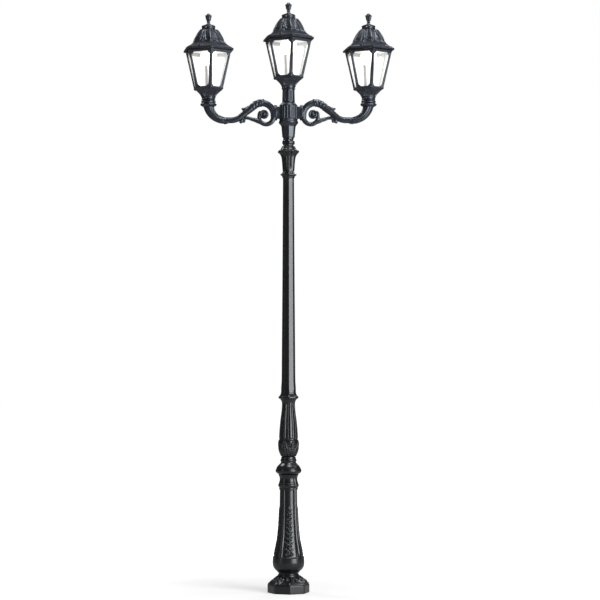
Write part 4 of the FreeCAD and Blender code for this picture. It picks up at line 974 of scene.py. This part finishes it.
def arm_leaves(angle, length, whole):
    """A veined leaf wrapped over the hump and the slope, and a grooved sheath round the elbow."""
    top = np.cos(angle)
    near = np.abs(np.sin(angle))
    start = 162 - 8 * top
    spread = 20 * np.abs(top)
    wrap = smooth(length, start - 3, start + 2) * (1 - smooth(length, 292 - spread, 326 - spread))
    veins = (0.5 + 0.5 * np.cos((length - 18 * (1 - top)) / 27 * TAU)) ** 1.8 * (1 - smooth(length, 215, 285))
    lip = ridge(length, start + 4, 4) * 1.6
    beads = (ridge(near, 0.5, 0.12) * 1.3 - ridge(near, 0.78, 0.1) * 0.8) * (1 - smooth(length, 300, 330))
    tip = whole - 205 + 17 * (1 + top) + 26 * (0.5 - 0.5 * np.cos(angle * 5))
    sheath = smooth(length, tip - 3, tip + 3)
    grooves = (0.5 + 0.5 * np.cos(angle * 9)) ** 0.6 * 3.0 * smooth(length, tip, tip + 25)
    edge = ridge(length, tip + 3, 4) * (1.6 + 5 * np.clip(-top, 0, 1) ** 6)
    return (2.2 + veins * 2.2 + lip) * wrap + beads * (1 - wrap) + sheath * (1.6 + grooves) + edge


def arm_tube():
    """The arm's own bar, thicker towards the lantern."""
    stops = ((0, 23), (0.32, 24.5), (0.5, 23.5), (0.58, 21.6), (0.72, 21.6), (0.82, 24), (0.9, 29), (1, 36))
    return swept(arm_route(), girth(*stops), 96, 2.2, arm_leaves)


def scroll_ridges(angle, length, whole):
    """A bead along each shoulder of the scroll's bar, the same all along it."""
    near = np.abs(np.sin(angle))
    return ridge(near, 0.55, 0.12) * 1.2 - ridge(near, 0.85, 0.12) * 0.8


def scroll_bar():
    """The bar that leaves the pad, runs round under the hump and curls in on itself."""
    round_eye, inward = bend((163, 3470), 53, 180, 345, 40), bend((190, 3489), 24, -5, 60, 10)
    route = np.vstack([[(108, 3500), (110, 3484)], round_eye, inward])
    size = girth((0, 21), (0.15, 20), (0.35, 17), (0.75, 16), (0.92, 12), (1, 8))
    return swept(route, size, 48, 2.4, scroll_ridges)


def scroll_eye():
    """The knob at the scroll's middle: a ball in a groove inside a round rim, the same on both faces."""
    profile = [(0.5, -24), (6, -23.4), (11, -20.5), (13.6, -16.5), (14.4, -12.5), (17, -12), (20.5, -15),
               (25, -16.5), (29.5, -14.5), (32.6, -9), (33.6, 0), (32.6, 9), (29.5, 14.5), (25, 16.5),
               (20.5, 15), (17, 12), (14.4, 12.5), (13.6, 16.5), (11, 20.5), (6, 23.4), (0.5, 24)]
    return along_y(turned(profile, 72, 2), 178.5, 0, 3489)


def tendril():
    """The branch from the scroll to the slope, the bud under it, and the leaf's tip over it."""
    branch_route = [(178, 3421), (200, 3431), (222, 3440), (244, 3448), (266, 3453), (288, 3461),
                    (318, 3464)]
    branch_size = girth((0, 12), (0.15, 17), (0.35, 17.5), (0.55, 14.5), (0.78, 12), (1, 12))
    bud_route = [(322, 3478), (332, 3462), (341, 3446), (346, 3430), (344, 3424)]
    bud_size = girth((0, 12), (0.35, 10), (0.6, 16), (0.85, 15), (1, 8))
    lobe_route = [(318, 3470), (321, 3452), (325, 3436), (322, 3428)]
    lobe_size = girth((0, 8), (0.5, 9), (0.85, 10), (1, 4))
    tip_route = [(268, 3540), (290, 3534), (312, 3526), (328, 3525), (337, 3530), (339, 3535)]
    tip_size = girth((0, 20), (0.4, 17), (0.7, 12), (0.9, 10), (1, 5))
    return joined(swept(branch_route, branch_size, 40, 2.5, scroll_ridges),
                  swept(bud_route, bud_size, 40, 2),
                  swept(lobe_route, lobe_size, 32, 2),
                  swept(tip_route, tip_size, 40, 2))


def arm_root():
    """The flat block on the hub, and the rounded pad that the hump and the scroll spring from."""
    pad_route = [(82, 3500), (86, 3500), (100, 3500), (112, 3500)]
    pad_size = girth((0, 50), (0.15, 56), (0.7, 57), (1, 46))
    return joined(block((36, -25, 3458), (88, 25, 3543), 4), swept(pad_route, pad_size, 64, 2, flat=0.5))


def arm_cup():
    """The cup and its beads at the arm's end, and the spigot that the lantern sits on."""
    profile = [(30, 3538), (38, 3541), (44, 3545), (50, 3549), (55, 3552), (58.4, 3555), (59.4, 3559),
               (59.2, 3563), (57.6, 3566), (54.6, 3568.5), (52, 3571), (51.6, 3574), (53, 3576.5),
               (53.6, 3580), (53, 3584), (51.4, 3587), (49.6, 3589.5), (31, 3589.6), (30, 3592),
               (29.6, 3641), (28.5, 3642), (8, 3642)]
    return moved(turned(profile, 128, 1.5, 4), (ARM_REACH, 0, 0))


arm = joined(arm_tube(), scroll_bar(), scroll_eye(), tendril(), arm_root(), arm_cup())
piece("arm_right", arm, "head_casting", "post", ["arm_right"])
piece("arm_left", moved(arm, mirror=True), "head_casting", "post", ["arm_left"])


# The CAD nodes that stay as they are, in their finishes

POST_STEEL = ["ground_plate", "pole", "plate_gussets", "arm_bolts", "hub_screws"]
LANTERN_PARTS = ("panes", "gasket", "hinge_pin", "reflector", "lampholder")
for name in POST_STEEL + [f"{side}_{part}" for side in SEATS for part in LANTERN_PARTS]:
    for place in frame["nodes"][name].material_slots:
        place.material = FINISH[place.material.name]


# Camera, light and floor

def light(name, place, aim, width, height, power):
    """A white soft box, its sizes in metres and its power in watts."""
    soft_box = bpy.data.lights.new(name, "AREA")
    soft_box.shape, soft_box.size, soft_box.size_y = "RECTANGLE", width, height
    soft_box.energy = power
    item = bpy.data.objects.new(name, soft_box)
    item.location = place
    item.rotation_euler = (Vector(aim) - Vector(place)).to_track_quat("-Z", "Y").to_euler()
    bpy.context.scene.collection.objects.link(item)


def camera():
    """About eye height, a long way off and level, with the frame shifted up to take in the post."""
    lens = bpy.data.cameras.new("camera")
    lens.sensor_fit, lens.angle = "HORIZONTAL", math.radians(17.78)
    lens.shift_y = 0.1105
    lens.clip_end = 100
    item = bpy.data.objects.new("camera", lens)
    item.location = (0.084, -14.0, 1.65)
    item.rotation_euler = (math.radians(90), 0, 0)
    bpy.context.scene.collection.objects.link(item)
    bpy.context.scene.camera = item


def floor():
    """White to the camera, and less so close to the post, a painted shade round its foot where its own shadow
    also shows.
    """
    far = 60
    mesh = bpy.data.meshes.new("floor")
    mesh.from_pydata([(-far, -far, 0), (far, -far, 0), (far, far, 0), (-far, far, 0)], [], [(0, 1, 2, 3)])
    item = bpy.data.objects.new("floor", mesh)
    bpy.context.scene.collection.objects.link(item)
    looks = Looks("pale_floor")
    away = looks.node("ShaderNodeVectorMath", {"operation": "LENGTH"}, {0: looks.place}, "Value")
    # The glow dims towards the post: painted shade round the foot, over the post's real shadow.
    glow = looks.ramp(looks.mask(away, 0.3, 3.0), [(0, (0.45, 0.45, 0.45)), (1, (1.0, 1.0, 1.0))])
    to_camera = looks.node("ShaderNodeLightPath", {}, {}, "Is Camera Ray")
    looks.set(Base_Color=(0.5, 0.5, 0.5), Roughness=0.8, Emission_Color=glow, Emission_Strength=to_camera)
    mesh.materials.append(looks.material)


def world():
    """White to the camera and through the panes, and a dim grey for the rest."""
    scene = bpy.context.scene
    scene.world = bpy.data.worlds.new("studio")
    scene.world.use_nodes = True
    tree = scene.world.node_tree
    back = tree.nodes["Background"]
    rays = tree.nodes.new("ShaderNodeLightPath")
    either = tree.nodes.new("ShaderNodeMath")
    either.operation = "MAXIMUM"
    tree.links.new(rays.outputs["Is Camera Ray"], either.inputs[0])
    tree.links.new(rays.outputs["Is Transmission Ray"], either.inputs[1])
    level = tree.nodes.new("ShaderNodeMapRange")
    tree.links.new(either.outputs[0], level.inputs["Value"])
    level.inputs["To Min"].default_value = 0.1
    level.inputs["To Max"].default_value = 1.0
    tree.links.new(level.outputs[0], back.inputs["Strength"])
    back.inputs["Color"].default_value = (1, 1, 1, 1)
    scene.view_settings.view_transform = "Standard"


camera()
floor()
world()

# Name, place, aim, width, height and power
light("key", (5.0, -5.0, 2.7), (0, 0, 2.4), 3.8, 5.4, 640)
light("left", (-5.6, -3.6, 2.4), (0, 0, 2.2), 0.9, 4.8, 40)
light("top", (1.0, -1.6, 9.0), (0, 0, 4.0), 2.4, 2.2, 340)
light("high_right", (5.4, 0.8, 7.4), (0, 0, 3.9), 1.6, 3.0, 60)
light("left_back", (-4.9, 3.8, 8.9), (0, 0, 4.0), 1.6, 2.6, 200)
light("right_back", (2.8, 6.8, 6.9), (0, 0, 3.6), 2.0, 3.0, 120)
